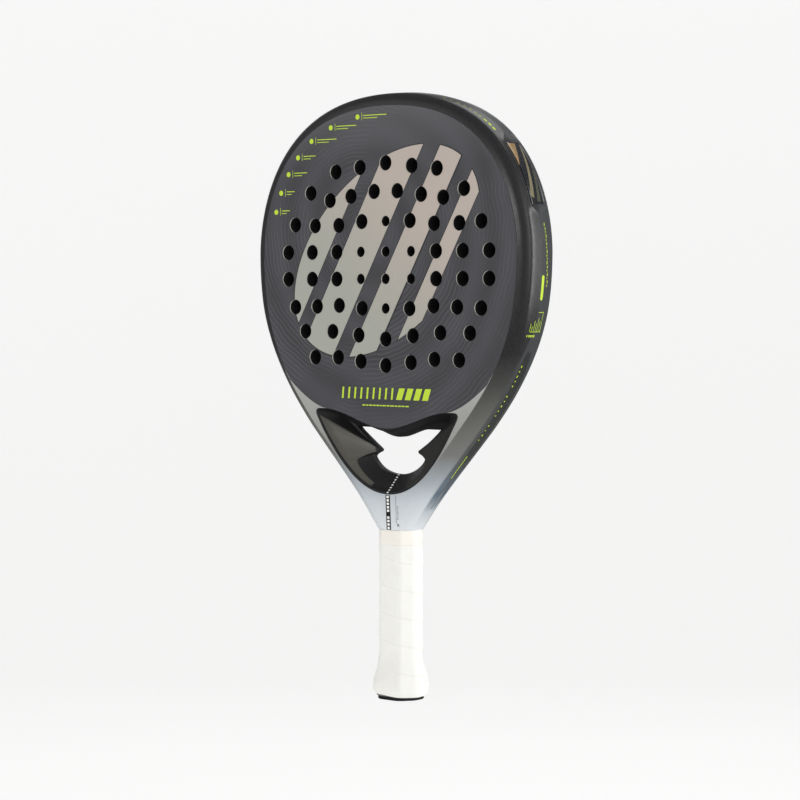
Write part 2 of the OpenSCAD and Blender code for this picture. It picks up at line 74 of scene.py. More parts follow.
throat = {
    "low": 155,
    "high": 218,
    "dip": 13.5,
    "cheekWidth": 22.5,
    "cornerRadius": 6,
    "cornerOut": 0.6,
    "sidePower": 2.1,
    "spurAt": 0.42,
    "pocketAt": 0.33,
    "middleAt": 0.6,
    "dipInset": 9,
    "tongueInset": 12.5,
    "rim": 1.6,
    "land": 2.5,
}

grip = {
    "width": 33.8,
    "thickness": 30.1,
    "top": 127.4,
    "tapeLow": 117,
    "flare": 4.55,
    "flareHeight": 34,
    "flareRise": 0.17,
    "sideFlat": 0.163,
    "frontFlat": 0.265,
    "capEdge": 3,
    "overgrip": 0.8,
    "baseGrip": 1.8,
}


def mix(a, b, t):
    return a * (1 - t) + b * t


def smooth(v):
    c = min(1, max(0, v))
    return c * c * (3 - 2 * c)


def sinDeg(a):
    return math.sin(math.radians(a))


def cosDeg(a):
    return math.cos(math.radians(a))


def bezier(c, t):
    return (1 - t) ** 3 * c[0] + 3 * (1 - t) ** 2 * t * c[1] + 3 * (1 - t) * t * t * c[2] + t**3 * c[3]


def bezierWay(c, t):
    return (1 - t) ** 2 * (c[1] - c[0]) + 2 * (1 - t) * t * (c[2] - c[1]) + t * t * (c[3] - c[2])


def cornerCurve(a, b, c, t):
    return (1 - t) ** 2 * a + 2 * (1 - t) * t * b + t * t * c


halfWide = head["width"] / 2
halfThick = head["thickness"] / 2
widestZ = head["length"] - head["crownHeight"]
throatMid = throat["high"] - throat["dip"]
cheekCurve = np.array([
    [head["neckWidth"] / 2, head["neckTop"]],
    [head["neckWidth"] / 2 + head["cheekPull"] * sinDeg(head["cheekAngle"]),
     head["neckTop"] + head["cheekPull"] * cosDeg(head["cheekAngle"])],
    [halfWide, widestZ - head["waistPull"]],
    [halfWide, widestZ],
])
crownCurve = np.array([
    [halfWide, widestZ],
    [halfWide, widestZ + head["shoulderPull"]],
    [head["crownPull"], head["length"]],
    [0, head["length"]],
])
cheekSteps = 120
crownSteps = 96
lastStep = cheekSteps + crownSteps


def neckShare(z):
    return 1 - smooth((z - head["neckTop"]) / head["neckBlend"])


def halfDepth(z):
    fall = min(1, max(0, (throatMid - z) / (throatMid - head["neckTop"])))
    return halfThick - (halfThick - head["neckThickness"] / 2) * fall


def edgeAt(k):
    if k <= cheekSteps:
        curve, t = cheekCurve, k / cheekSteps
    else:
        curve, t = crownCurve, (k - cheekSteps) / crownSteps
    point = bezier(curve, t)
    way = bezierWay(curve, t)
    way = way / np.linalg.norm(way)
    share = neckShare(point[1])
    normal = mix(np.array([way[1], -way[0]]), np.array([1.0, 0.0]), share)
    return point, normal / np.linalg.norm(normal)


edges = [edgeAt(k) for k in range(lastStep + 1)]
edgeZ = np.array([p[1] for p, n in edges])
edgeX = np.array([p[0] for p, n in edges])


def insetPoint(k, d):
    point, normal = edges[k]
    return point - d * normal


def edgeNear(z):
    # outline point and normal at a height, on the right side
    x = np.interp(z, edgeZ, edgeX)
    nx = np.interp(z, edgeZ, [n[0] for p, n in edges])
    nz = np.interp(z, edgeZ, [n[1] for p, n in edges])
    return np.array([x, z]), np.array([nx, nz]) / math.hypot(nx, nz)


# sunk panels in the side wall: a long strip down each cheek, a short window on each shoulder
panels = {
    "stripLow": 144,
    "stripHigh": 262,
    "stripHalf": 4.6,
    "windowLow": 369,
    "windowHigh": 415,
    "windowHalf": 10,
    "depth": 1.2,
    "filmThickness": 0.7,
    "gap": 0.3,
    "ramp": 1.5,
    "windowBlend": 8,
    "stripPoint": 0.35,
    "pointLow": 45,
    "pointHigh": 25,
}


def rampIn(z, low, high, ramp):
    return smooth((z - low) / ramp + 0.5) * smooth((high - z) / ramp + 0.5)


def windowShare(z):
    blend = panels["windowBlend"]
    return rampIn(z, panels["windowLow"] - blend / 2, panels["windowHigh"] + blend / 2, blend)


def panelHalf(z):
    taper = (smooth((z - panels["stripLow"]) / panels["pointLow"])
             * smooth((panels["stripHigh"] + 8 - z) / panels["pointHigh"]))
    stripHalf = panels["stripHalf"] * mix(panels["stripPoint"], 1, taper)
    return mix(stripHalf, panels["windowHalf"], windowShare(z))


def panelDepth(z):
    strip = rampIn(z, panels["stripLow"], panels["stripHigh"], panels["ramp"])
    window = rampIn(z, panels["windowLow"], panels["windowHigh"], panels["ramp"])
    return panels["depth"] * max(strip, window)


def rimHalf(z):
    # half section of the rim: [inset from the outline, distance from the middle]
    b = halfDepth(z)
    cheek = smooth((throat["high"] + head["cheekRise"] - z) / head["cheekBlend"])
    share = neckShare(z)
    ridge = head["bevel"] + head["cheekBevel"] * cheek
    lip = min(panelHalf(z), b - ridge - head["lipClear"])
    flat = head["faceInset"]
    wall = np.array([
        [flat, b],
        [flat * 0.53, b - ridge * 0.34],
        [2 - 0.6 * cheek, b - ridge],
        [1 - 0.3 * cheek, b - ridge - head["wallDrop"]],
        [head["lipInset"], lip],
    ])
    neck = np.array([[head["neckRound"] * (1 - cosDeg(a)), b * sinDeg(a)] for a in (90, 68, 45, 24, 10)])
    wall = mix(wall, neck, share)
    return np.vstack([wall, wall[4] + [panelDepth(z), -0.4]])


def roundedPath(points, share, steps):
    # every inner corner becomes a small curve
    path = [points[0]]
    for before, at, after in zip(points[:-2], points[1:-1], points[2:]):
        start = mix(at, before, share)
        end = mix(at, after, share)
        path += [cornerCurve(start, at, end, i / steps) for i in range(steps + 1)]
    path.append(points[-1])
    return path


def rimSection(z):
    half = rimHalf(z)
    start = half[0] + [0.3, 0]
    front = [[p[0], -p[1]] for p in [start, *half]]
    back = [[p[0], p[1]] for p in [start, *half]][::-1]
    path = np.array(front + back)
    return roundedPath(path, 0.42, 4)


def toMesh(name, verts, faces):
    mesh = bpy.data.meshes.new(name)
    mesh.from_pydata([tuple(float(c) * mm for c in v) for v in verts], [], faces)
    mesh.update()
    return mesh


def toObject(name, mesh):
    thing = bpy.data.objects.new(name, mesh)
    bpy.context.scene.collection.objects.link(thing)
    return thing


def turnOut(mesh, weld=0):
    # every face is turned outward, after doubled points are joined and gaps closed where asked
    bm = bmesh.new()
    bm.from_mesh(mesh)
    if weld > 0:
        bmesh.ops.remove_doubles(bm, verts=bm.verts, dist=weld * mm)
        gaps = [e for e in bm.edges if e.is_boundary]
        bmesh.ops.holes_fill(bm, edges=gaps, sides=0)
    bmesh.ops.recalc_face_normals(bm, faces=bm.faces)
    openEdges = sum(1 for e in bm.edges if not e.is_manifold)
    bm.to_mesh(mesh)
    bm.free()
    return openEdges


def shade(thing, angle=180):
    # smooth shading, with edges steeper than the angle left sharp
    mesh = thing.data
    mesh.shade_smooth()
    if angle < 180:
        mesh.set_sharp_from_angle(angle=math.radians(angle))


def settle(piece, node):
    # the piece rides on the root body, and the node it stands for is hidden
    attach(piece, "root")
    if node:
        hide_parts(node)


def quads(rows, count, around):
    faces = []
    for i in range(rows - 1):
        for j in range(count if around else count - 1):
            a, b = i * count + j, i * count + (j + 1) % count
            faces.append((a, b, b + count, a + count))
    return faces


def ringFaces(rows, count):
    # faces round a stack of closed rings whose last ring joins the first
    faces = quads(rows, count, True)
    last = (rows - 1) * count
    for j in range(count):
        faces.append((last + j, last + (j + 1) % count, (j + 1) % count, j))
    return faces


def inside(point, loop):
    x, y = point
    hit = False
    for (x0, y0), (x1, y1) in zip(loop, np.roll(loop, -1, axis=0)):
        if (y0 > y) != (y1 > y) and x < (x1 - x0) * (y - y0) / (y1 - y0) + x0:
            hit = not hit
    return hit


# material building blocks
def put(tree, kind, inputs=None, **settings):
    made = tree.nodes.new(kind)
    for key, value in settings.items():
        setattr(made, key, value)
    for key, value in (inputs or {}).items():
        if isinstance(value, bpy.types.NodeSocket):
            tree.links.new(value, made.inputs[key])
        else:
            made.inputs[key].default_value = value
    return made


def maths(tree, operation, a, b=0.0, c=0.0):
    made = put(tree, "ShaderNodeMath", operation=operation)
    for socket, value in zip(made.inputs, (a, b, c)):
        if isinstance(value, bpy.types.NodeSocket):
            tree.links.new(value, socket)
        else:
            socket.default_value = value
    return made.outputs[0]


def rgb(r, g, b):
    # screen colour 0 to 255 into linear light
    def linear(c):
        c = c / 255
        return c / 12.92 if c <= 0.04045 else ((c + 0.055) / 1.055) ** 2.4
    return (linear(r), linear(g), linear(b), 1)


def blendColor(tree, factor, a, b, mode="MIX"):
    made = put(tree, "ShaderNodeMix", data_type="RGBA", blend_type=mode)
    for index, value in ((0, factor), (6, a), (7, b)):
        if isinstance(value, bpy.types.NodeSocket):
            tree.links.new(value, made.inputs[index])
        else:
            made.inputs[index].default_value = value
    return made.outputs[2]


def ramp(tree, factor, stops, interpolation="LINEAR"):
    made = put(tree, "ShaderNodeValToRGB", {"Fac": factor})
    band = made.color_ramp
    band.interpolation = interpolation
    while len(band.elements) > 1:
        band.elements.remove(band.elements[-1])
    band.elements[0].position = stops[0][0]
    band.elements[0].color = stops[0][1]
    for at, color in stops[1:]:
        band.elements.new(at).color = color
    return made.outputs[0]


def grey(v):
    return (v, v, v, 1)


def startMaterial(name, **sockets):
    material = bpy.data.materials.new(name)
    material.use_nodes = True
    tree = material.node_tree
    shader = tree.nodes["Principled BSDF"]
    for key, value in sockets.items():
        shader.inputs[key.replace("_", " ")].default_value = value
    place = put(tree, "ShaderNodeTexCoord").outputs["Object"]
    return material, tree, shader, place


def finish(tree, shader, color=None, roughness=None, height=None, bump=0.2, distance=0.0002):
    if color is not None:
        tree.links.new(color, shader.inputs["Base Color"])
    if roughness is not None:
        tree.links.new(roughness, shader.inputs["Roughness"])
    if height is not None:
        made = put(tree, "ShaderNodeBump", {"Height": height, "Strength": bump, "Distance": distance})
        tree.links.new(made.outputs[0], shader.inputs["Normal"])


def noise(tree, place, scale, detail=3.0, rough=0.5, distortion=0.0):
    made = put(tree, "ShaderNodeTexNoise", {
        "Vector": place, "Scale": scale, "Detail": detail, "Roughness": rough,
        "Distortion": distortion})
    return made.outputs["Fac"]


def painted(tree, name):
    # a value stored on the mesh, point by point
    return put(tree, "ShaderNodeAttribute", attribute_name=name).outputs["Fac"]


def span(tree, value, low, high, toLow, toHigh):
    made = put(tree, "ShaderNodeMapRange", {
        "Value": value, "From Min": low, "From Max": high, "To Min": toLow, "To Max": toHigh})
    return made.outputs[0]


def plainMaterial(name, color, roughness, grain=900, depth=0.15, shadeBy=0.12, **sockets):
    # one colour of moulded or sprayed material with its fine grain
    material, tree, shader, place = startMaterial(name, **sockets)
    fine = noise(tree, place, grain)
    broad = noise(tree, place, 40)
    dark = tuple(c * (1 - shadeBy) for c in color[:3]) + (1,)
    lit = tuple(min(1, c * (1 + shadeBy)) for c in color[:3]) + (1,)
    mixed = blendColor(tree, broad, dark, lit)
    rough = span(tree, fine, 0.3, 0.7, roughness - 0.06, roughness + 0.06)
    finish(tree, shader, mixed, rough, fine, depth, 0.0001)
    return material


# colours of each finish, as screen values
paintColors = {
    "charcoal": rgb(22, 22, 25),
    # silver of the flat land, lightened as a painted highlight
    "silver": rgb(176, 176, 173),
    "lime": rgb(186, 214, 46),
    "champagne": rgb(178, 167, 158),
    "champagneLow": rgb(160, 161, 152),
    "face": rgb(74, 74, 79),
    "faceDark": rgb(59, 59, 63),
}


def makeFramePaint():
    material, tree, shader, place = startMaterial(
        "framePaint", Coat_Weight=0.2, Coat_Roughness=0.3, IOR=1.45)
    z = put(tree, "ShaderNodeSeparateXYZ", {"Vector": place}).outputs["Z"]
    drift = noise(tree, place, 22, 2)
    # the fade runs down the cheeks from charcoal to white
    wander = maths(tree, "MULTIPLY", maths(tree, "SUBTRACT", drift, 0.5), 0.012)
    level = maths(tree, "ADD", z, wander)
    low, high = 0.128, 0.268
    at = [(v - low) / (high - low) for v in (0.130, 0.150, 0.166, 0.186, 0.214, 0.240, 0.262)]
    fade = ramp(tree, span(tree, level, low, high, 0, 1), [
        (at[0], rgb(216, 220, 223)),
        (at[1], rgb(194, 201, 206)),
        (at[2], rgb(154, 161, 167)),
        (at[3], rgb(112, 113, 110)),
        (at[4], rgb(90, 91, 85)),
        (at[5], rgb(58, 58, 56)),
        (at[6], paintColors["charcoal"]),
    ])
    # the flat land beside the throat is painted a lighter silver: partly its real silver paint, partly a
    # painted highlight for the light its flat front catches
    land = painted(tree, "land")
    landHighlight = maths(tree, "MULTIPLY", land, ramp(tree, span(tree, z, 0.16, 0.25, 0, 1), [
        (0.1, grey(0)), (0.45, grey(0.55)), (0.85, grey(0.85)), (0.93, grey(0.7)), (0.98, grey(0))]))
    fade = blendColor(tree, landHighlight, fade, paintColors["silver"])
    # the wall behind the strip carries a darker coat than the front of the cheek
    rear = painted(tree, "rear")
    rearHere = maths(tree, "MULTIPLY", rear, span(tree, z, 0.142, 0.172, 0, 0.8))
    fade = blendColor(tree, rearHere, fade, rgb(58, 60, 62))
    steel = maths(tree, "MULTIPLY", rear, ramp(tree, span(tree, z, 0.13, 0.19, 0, 1), [
        (0.0, grey(0)), (0.2, grey(0.25)), (0.45, grey(0.95)), (0.85, grey(0))]))
    fade = blendColor(tree, steel, fade, rgb(78, 96, 110))
    flake = noise(tree, place, 2600, 2)
    speck = blendColor(tree, span(tree, flake, 0.35, 0.75, 0, 0.12), fade, rgb(150, 150, 150))
    rough = span(tree, noise(tree, place, 260, 4), 0.3, 0.7, 0.29, 0.38)
    finish(tree, shader, speck, rough, noise(tree, place, 420, 3), 0.06, 0.0002)
    return material


# the large light figure of the face: slanted bars held inside a tilted oval
figure = {
    "middle": (-1, 336),
    "half": (62, 100),
    "turn": 52,
    "slant": 0.55,
    "bars": [(-98, -56), (-42, -8), (8, 32), (47, 62)],
    "line": 0.9,
    "reach": 100,
    "ovalMean": 85,
}


def makeFaceFinish(name, mirror):
    material, tree, shader, place = startMaterial(name, IOR=1.45)
    turn = put(tree, "ShaderNodeMapping", {"Vector": place, "Scale": (1000 * mirror, 0, 1000)})
    flatPlace = turn.outputs[0]
    # fine relief lines that swirl across the sheet
    swirl = put(tree, "ShaderNodeTexWave", {
        "Vector": put(tree, "ShaderNodeMapping", {
            "Vector": flatPlace, "Location": (0.25, 0, -3.7), "Scale": (0.0105, 1, 0.0105)}).outputs[0],
        "Scale": 9.0, "Distortion": 5.5, "Detail": 1.6, "Detail Scale": 0.55, "Detail Roughness": 0.45},
        wave_type="RINGS", rings_direction="Y", wave_profile="SIN").outputs["Fac"]
    patch = span(tree, noise(tree, flatPlace, 0.013, 2, 0.5, 1.2), 0.42, 0.62, 0, 1)
    groove = maths(tree, "MULTIPLY", maths(tree, "POWER", swirl, 5), patch)
    grain = noise(tree, place, 1500, 2)
    flatXyz = put(tree, "ShaderNodeSeparateXYZ", {"Vector": flatPlace})
    broad = put(tree, "ShaderNodeTexWave", {
        "Vector": put(tree, "ShaderNodeMapping", {
            "Vector": flatPlace, "Location": (0.1, 0, -3.2), "Scale": (0.0105, 1, 0.0092)}).outputs[0],
        "Scale": 1.1, "Distortion": 3.2, "Detail": 1.0, "Detail Scale": 0.7},
        wave_type="RINGS", rings_direction="Y", wave_profile="SIN").outputs["Fac"]
    tone = maths(tree, "ADD", maths(tree, "MULTIPLY", broad, 0.6),
                 maths(tree, "MULTIPLY", noise(tree, flatPlace, 0.02, 3), 0.4))
    base = blendColor(tree, tone, paintColors["faceDark"], paintColors["face"])
    # painted highlight: the face grows lighter towards its top, as if lit from above
    base = blendColor(tree, span(tree, flatXyz.outputs["Z"], 400, 452, 0, 0.5), base, rgb(104, 104, 108))
    base = blendColor(tree, maths(tree, "MULTIPLY", groove, 0.26), base, rgb(112, 112, 118))
    middleX, middleZ = figure["middle"]
    halfAcross, halfAlong = figure["half"]
    oval = put(tree, "ShaderNodeMapping", {
        "Vector": flatPlace, "Location": (middleX, 0, middleZ),
        "Rotation": (0, math.radians(figure["turn"]), 0),
        "Scale": (halfAcross, 1, halfAlong)}, vector_type="TEXTURE")
    reach = put(tree, "ShaderNodeVectorMath", {0: oval.outputs[0]}, operation="LENGTH").outputs["Value"]
    across = maths(tree, "ADD", flatXyz.outputs["X"], maths(
        tree, "MULTIPLY", maths(tree, "SUBTRACT", flatXyz.outputs["Z"], middleZ), -figure["slant"]))

    def barMask(grow):
        wide = figure["reach"]
        stops = [(0.0, grey(0))]
        for low, high in figure["bars"]:
            stops.append(((low - grow + wide) / (2 * wide), grey(1)))
            stops.append(((high + grow + wide) / (2 * wide), grey(0)))
        strip = ramp(tree, span(tree, across, -wide, wide, 0, 1), stops, "CONSTANT")
        held = maths(tree, "LESS_THAN", reach, 1 + grow / figure["ovalMean"])
        return maths(tree, "MULTIPLY", strip, held)

    lineMask = barMask(figure["line"])
    barsMask = barMask(0)
    champagne = blendColor(
        tree, span(tree, maths(tree, "ADD", flatXyz.outputs["X"], flatXyz.outputs["Z"]), 270, 400, 0, 1),
        paintColors["champagneLow"], paintColors["champagne"])
    base = blendColor(tree, lineMask, base, rgb(46, 46, 50))
    base = blendColor(tree, barsMask, base, champagne)
    rough = maths(tree, "ADD", span(tree, grain, 0.3, 0.7, 0.46, 0.58),
                  maths(tree, "MULTIPLY", barsMask, -0.12))
    height = maths(tree, "ADD", groove, maths(tree, "MULTIPLY", grain, 0.18))
    finish(tree, shader, base, rough, height, 0.35, 0.00025)
    return material


def makeFoam(name, color, scale):
    material, tree, shader, place = startMaterial(name, Roughness=0.85)
    cells = put(tree, "ShaderNodeTexVoronoi", {"Vector": place, "Scale": scale}).outputs["Distance"]
    dark = tuple(c * 0.45 for c in color[:3]) + (1,)
    mixed = blendColor(tree, span(tree, cells, 0.05, 0.6, 0, 1), dark, color)
    rough = span(tree, cells, 0, 1, 0.78, 0.92)
    finish(tree, shader, mixed, rough, cells, 0.6, 0.0003)
    return material


def makeLaminate(name, color, weave=1400):
    material, tree, shader, place = startMaterial(name, Coat_Weight=0.3, Coat_Roughness=0.3)
    checks = put(tree, "ShaderNodeTexChecker", {"Vector": place, "Scale": weave}).outputs["Fac"]
    dark = tuple(c * 0.6 for c in color[:3]) + (1,)
    mixed = blendColor(tree, checks, dark, color)
    rough = span(tree, noise(tree, place, 300), 0.3, 0.7, 0.32, 0.5)
    finish(tree, shader, mixed, rough, checks, 0.15, 0.0001)
    return material


def makeCutEdge():
    material, tree, shader, place = startMaterial("cutLaminate", Roughness=0.6)
    layers = put(tree, "ShaderNodeTexWave", {"Vector": place, "Scale": 900, "Distortion": 1.2},
                 wave_type="BANDS", bands_direction="Y").outputs["Fac"]
    mixed = blendColor(tree, layers, rgb(205, 200, 190), rgb(236, 232, 222))
    finish(tree, shader, mixed, span(tree, layers, 0, 1, 0.5, 0.7), layers, 0.2, 0.0001)
    return material


def makeInsertPlastic():
    material, tree, shader, place = startMaterial("insertPlastic", Coat_Weight=0.08, Coat_Roughness=0.4)
    # a fine diamond texture is moulded into the low pocket
    turned = put(tree, "ShaderNodeMapping", {
        "Vector": place, "Rotation": (0, math.radians(45), 0), "Scale": (900, 900, 900)}).outputs[0]
    diamonds = put(tree, "ShaderNodeTexChecker", {"Vector": turned, "Scale": 1.0}).outputs["Fac"]
    z = put(tree, "ShaderNodeSeparateXYZ", {"Vector": place}).outputs["Z"]
    pocket = painted(tree, "pocket")
    low = maths(tree, "MULTIPLY", pocket, span(tree, z, 0.192, 0.178, 0, 1))
    fine = noise(tree, place, 1300, 3)
    facetHighlight = painted(tree, "facetHighlight")
    base = blendColor(tree, noise(tree, place, 60), rgb(24, 24, 26), rgb(34, 34, 36))
    # painted highlight: the facet is painted a lit brown-grey, less rough than the rest
    base = blendColor(tree, facetHighlight, base, rgb(84, 82, 75))
    base = blendColor(tree, maths(tree, "MULTIPLY", low, diamonds), base, rgb(36, 36, 38))
    height = maths(tree, "ADD", maths(tree, "MULTIPLY", diamonds, low), maths(tree, "MULTIPLY", fine, 0.5))
    satin = maths(tree, "ADD", span(tree, fine, 0.3, 0.7, 0.42, 0.56), maths(tree, "MULTIPLY", facetHighlight, -0.14))
    finish(tree, shader, base, satin, height, 0.3, 0.0002)
    return material


def makeOvergripSkin():
    material, tree, shader, place = startMaterial(
        "overgripSkin", Subsurface_Weight=0.05, Sheen_Weight=0.1, IOR=1.4)
    shader.inputs["Subsurface Radius"].default_value = (0.002, 0.0018, 0.0015)
    seamShade = painted(tree, "seamShade")
    pores = put(tree, "ShaderNodeTexVoronoi", {"Vector": place, "Scale": 1500}).outputs["Distance"]
    creases = noise(tree, place, 110, 4, 0.6, 0.8)
    base = blendColor(tree, creases, rgb(229, 228, 223), rgb(239, 239, 235))
    # painted shade: a darker grey line along each lap's edge
    base = blendColor(tree, maths(tree, "MULTIPLY", seamShade, 0.32), base, rgb(196, 194, 187))
    height = maths(tree, "ADD", maths(tree, "MULTIPLY", pores, 0.4), creases)
    finish(tree, shader, base, span(tree, creases, 0.3, 0.7, 0.55, 0.7), height, 0.22, 0.0003)
    return material


def makeTapeFilm():
    material, tree, shader, place = startMaterial("tapeFilm", Coat_Weight=0.15, Coat_Roughness=0.35)
    threads = put(tree, "ShaderNodeTexWave", {"Vector": place, "Scale": 700, "Distortion": 0.6},
                  wave_type="BANDS", bands_direction="Z").outputs["Fac"]
    base = blendColor(tree, noise(tree, place, 90), rgb(234, 229, 220), rgb(240, 237, 230))
    finish(tree, shader, base, span(tree, threads, 0, 1, 0.42, 0.52), threads, 0.08, 0.0001)
    return material


def makeStripFilm():
    material, tree, shader, place = startMaterial("stripFilm", Coat_Weight=0.25, Coat_Roughness=0.25)
    z = put(tree, "ShaderNodeSeparateXYZ", {"Vector": place}).outputs["Z"]
    base = ramp(tree, span(tree, z, 0.144, 0.262, 0, 1), [
        (0.0, rgb(150, 160, 168)), (0.14, rgb(92, 98, 102)), (0.35, rgb(56, 57, 54)),
        (1.0, rgb(44, 46, 44))])
    fine = noise(tree, place, 1800)
    finish(tree, shader, base, span(tree, fine, 0.3, 0.7, 0.34, 0.46), fine, 0.1, 0.0001)
    return material


def makeWindowFilm():
    # slanted slivers of tan and olive on black, along the window's own map
    material, tree, shader, place = startMaterial("windowFilm", Coat_Weight=0.5, Coat_Roughness=0.12)
    own = put(tree, "ShaderNodeUVMap", uv_map="along").outputs["UV"]
    uv = put(tree, "ShaderNodeSeparateXYZ", {"Vector": own})
    along, across = uv.outputs["X"], uv.outputs["Y"]
    base = blendColor(tree, noise(tree, place, 300), rgb(20, 22, 26), rgb(30, 32, 38))
    # each sliver: height and side of its upper and lower end, its two half widths, its color
    slivers = [
        ((0.98, 0.34), (0.60, 0.10), (0.24, 0.01), rgb(146, 118, 78)),
        ((0.96, 0.84), (0.10, 0.24), (0.03, 0.11), rgb(124, 116, 90)),
        ((0.74, 0.93), (0.04, 0.60), (0.02, 0.10), rgb(74, 76, 62)),
    ]
    for top, low, halves, color in slivers:
        fall = span(tree, along, top[0], low[0], 0, 1)
        middle = maths(tree, "ADD", top[1], maths(tree, "MULTIPLY", fall, low[1] - top[1]))
        half = maths(tree, "ADD", halves[0], maths(tree, "MULTIPLY", fall, halves[1] - halves[0]))
        gap = maths(tree, "ABSOLUTE", maths(tree, "SUBTRACT", across, middle))
        within = maths(tree, "MULTIPLY", maths(tree, "LESS_THAN", gap, half),
                       maths(tree, "MULTIPLY", maths(tree, "GREATER_THAN", along, low[0]),
                             maths(tree, "LESS_THAN", along, top[0])))
        base = blendColor(tree, within, base, color)
    # the lower front corner is cut off on a slant and carries the rim's paint
    cut = maths(tree, "LESS_THAN", along, maths(tree, "ADD", 0.17, maths(tree, "MULTIPLY", across, -0.23)))
    base = blendColor(tree, cut, base, paintColors["charcoal"])
    rough = span(tree, noise(tree, place, 900), 0.3, 0.7, 0.2, 0.32)
    finish(tree, shader, base, rough, noise(tree, place, 500), 0.06, 0.0001)
    return material


finishes = {
    "framePaint": makeFramePaint(),
    "faceFront": makeFaceFinish("faceFinishFront", 1),
    "faceBack": makeFaceFinish("faceFinishBack", -1),
    "cutEdge": makeCutEdge(),
    "darkFoam": makeFoam("darkFoam", rgb(30, 30, 30), 700),
    "paleFoam": makeFoam("paleFoam", rgb(214, 206, 184), 500),
    "laminate": makeLaminate("bareLaminate", rgb(48, 50, 52)),
    "insert": makeInsertPlastic(),
    "strip": makeStripFilm(),
    "window": makeWindowFilm(),
    "labelBlack": plainMaterial("labelBlack", rgb(26, 26, 27), 0.42),
    "labelWhite": plainMaterial("labelWhite", rgb(238, 238, 236), 0.5, shadeBy=0.03),
    "limeInk": plainMaterial("limeInk", paintColors["lime"], 0.5, shadeBy=0.08),
    "greyInk": plainMaterial("greyInk", rgb(96, 100, 104), 0.5),
    "cushion": makeFoam("cushionFoam", rgb(120, 120, 118), 900),
    "overgrip": makeOvergripSkin(),
    "tape": makeTapeFilm(),
    "capPlastic": plainMaterial("capPlastic", rgb(24, 24, 25), 0.45, grain=700, depth=0.25),
    "steel": plainMaterial("tackSteel", rgb(196, 197, 200), 0.28, Metallic=1.0),
}
print("materials made:", len(finishes))


# geometry node helpers
def startTree(name, inputs):
    tree = bpy.data.node_groups.new(name, "GeometryNodeTree")
    tree.interface.new_socket("Geometry", in_out="INPUT", socket_type="NodeSocketGeometry")
    for label, kind, value in inputs:
        socket = tree.interface.new_socket(label, in_out="INPUT", socket_type="NodeSocket" + kind)
        if value is not None:
            socket.default_value = value
    tree.interface.new_socket("Geometry", in_out="OUTPUT", socket_type="NodeSocketGeometry")
    enter = tree.nodes.new("NodeGroupInput")
    leave = tree.nodes.new("NodeGroupOutput")
    return tree, enter, leave


def bake(thing, tree, values):
    # the modifier's result becomes a plain mesh
    modifier = thing.modifiers.new(tree.name, "NODES")
    modifier.node_group = tree
    for item in tree.interface.items_tree:
        if item.in_out == "INPUT" and item.name in values:
            modifier[item.identifier] = values[item.name]
    graph = bpy.context.evaluated_depsgraph_get()
    made = bpy.data.meshes.new_from_object(thing.evaluated_get(graph))
    thing.modifiers.remove(modifier)
    thing.data = made
    return thing


def named(tree, name, kind="FLOAT"):
    made = put(tree, "GeometryNodeInputNamedAttribute", {"Name": name}, data_type=kind)
    return made.outputs["Attribute"]


def closedFilm(tree, flatFaces, thickness, offset=None):
    # gives flat faces their thickness and closes the underside
    inputs = {"Mesh": flatFaces, "Offset Scale": thickness, "Individual": False}
    if offset is not None:
        inputs["Offset"] = offset
    raised = put(tree, "GeometryNodeExtrudeMesh", inputs)
    under = put(tree, "GeometryNodeFlipFaces", {"Mesh": flatFaces})
    joined = tree.nodes.new("GeometryNodeJoinGeometry")
    tree.links.new(raised.outputs["Mesh"], joined.inputs[0])
    tree.links.new(under.outputs[0], joined.inputs[0])
    merged = put(tree, "GeometryNodeMergeByDistance", {"Geometry": joined.outputs[0], "Distance": 0.000004})
    return merged.outputs[0], raised.outputs["Side"]


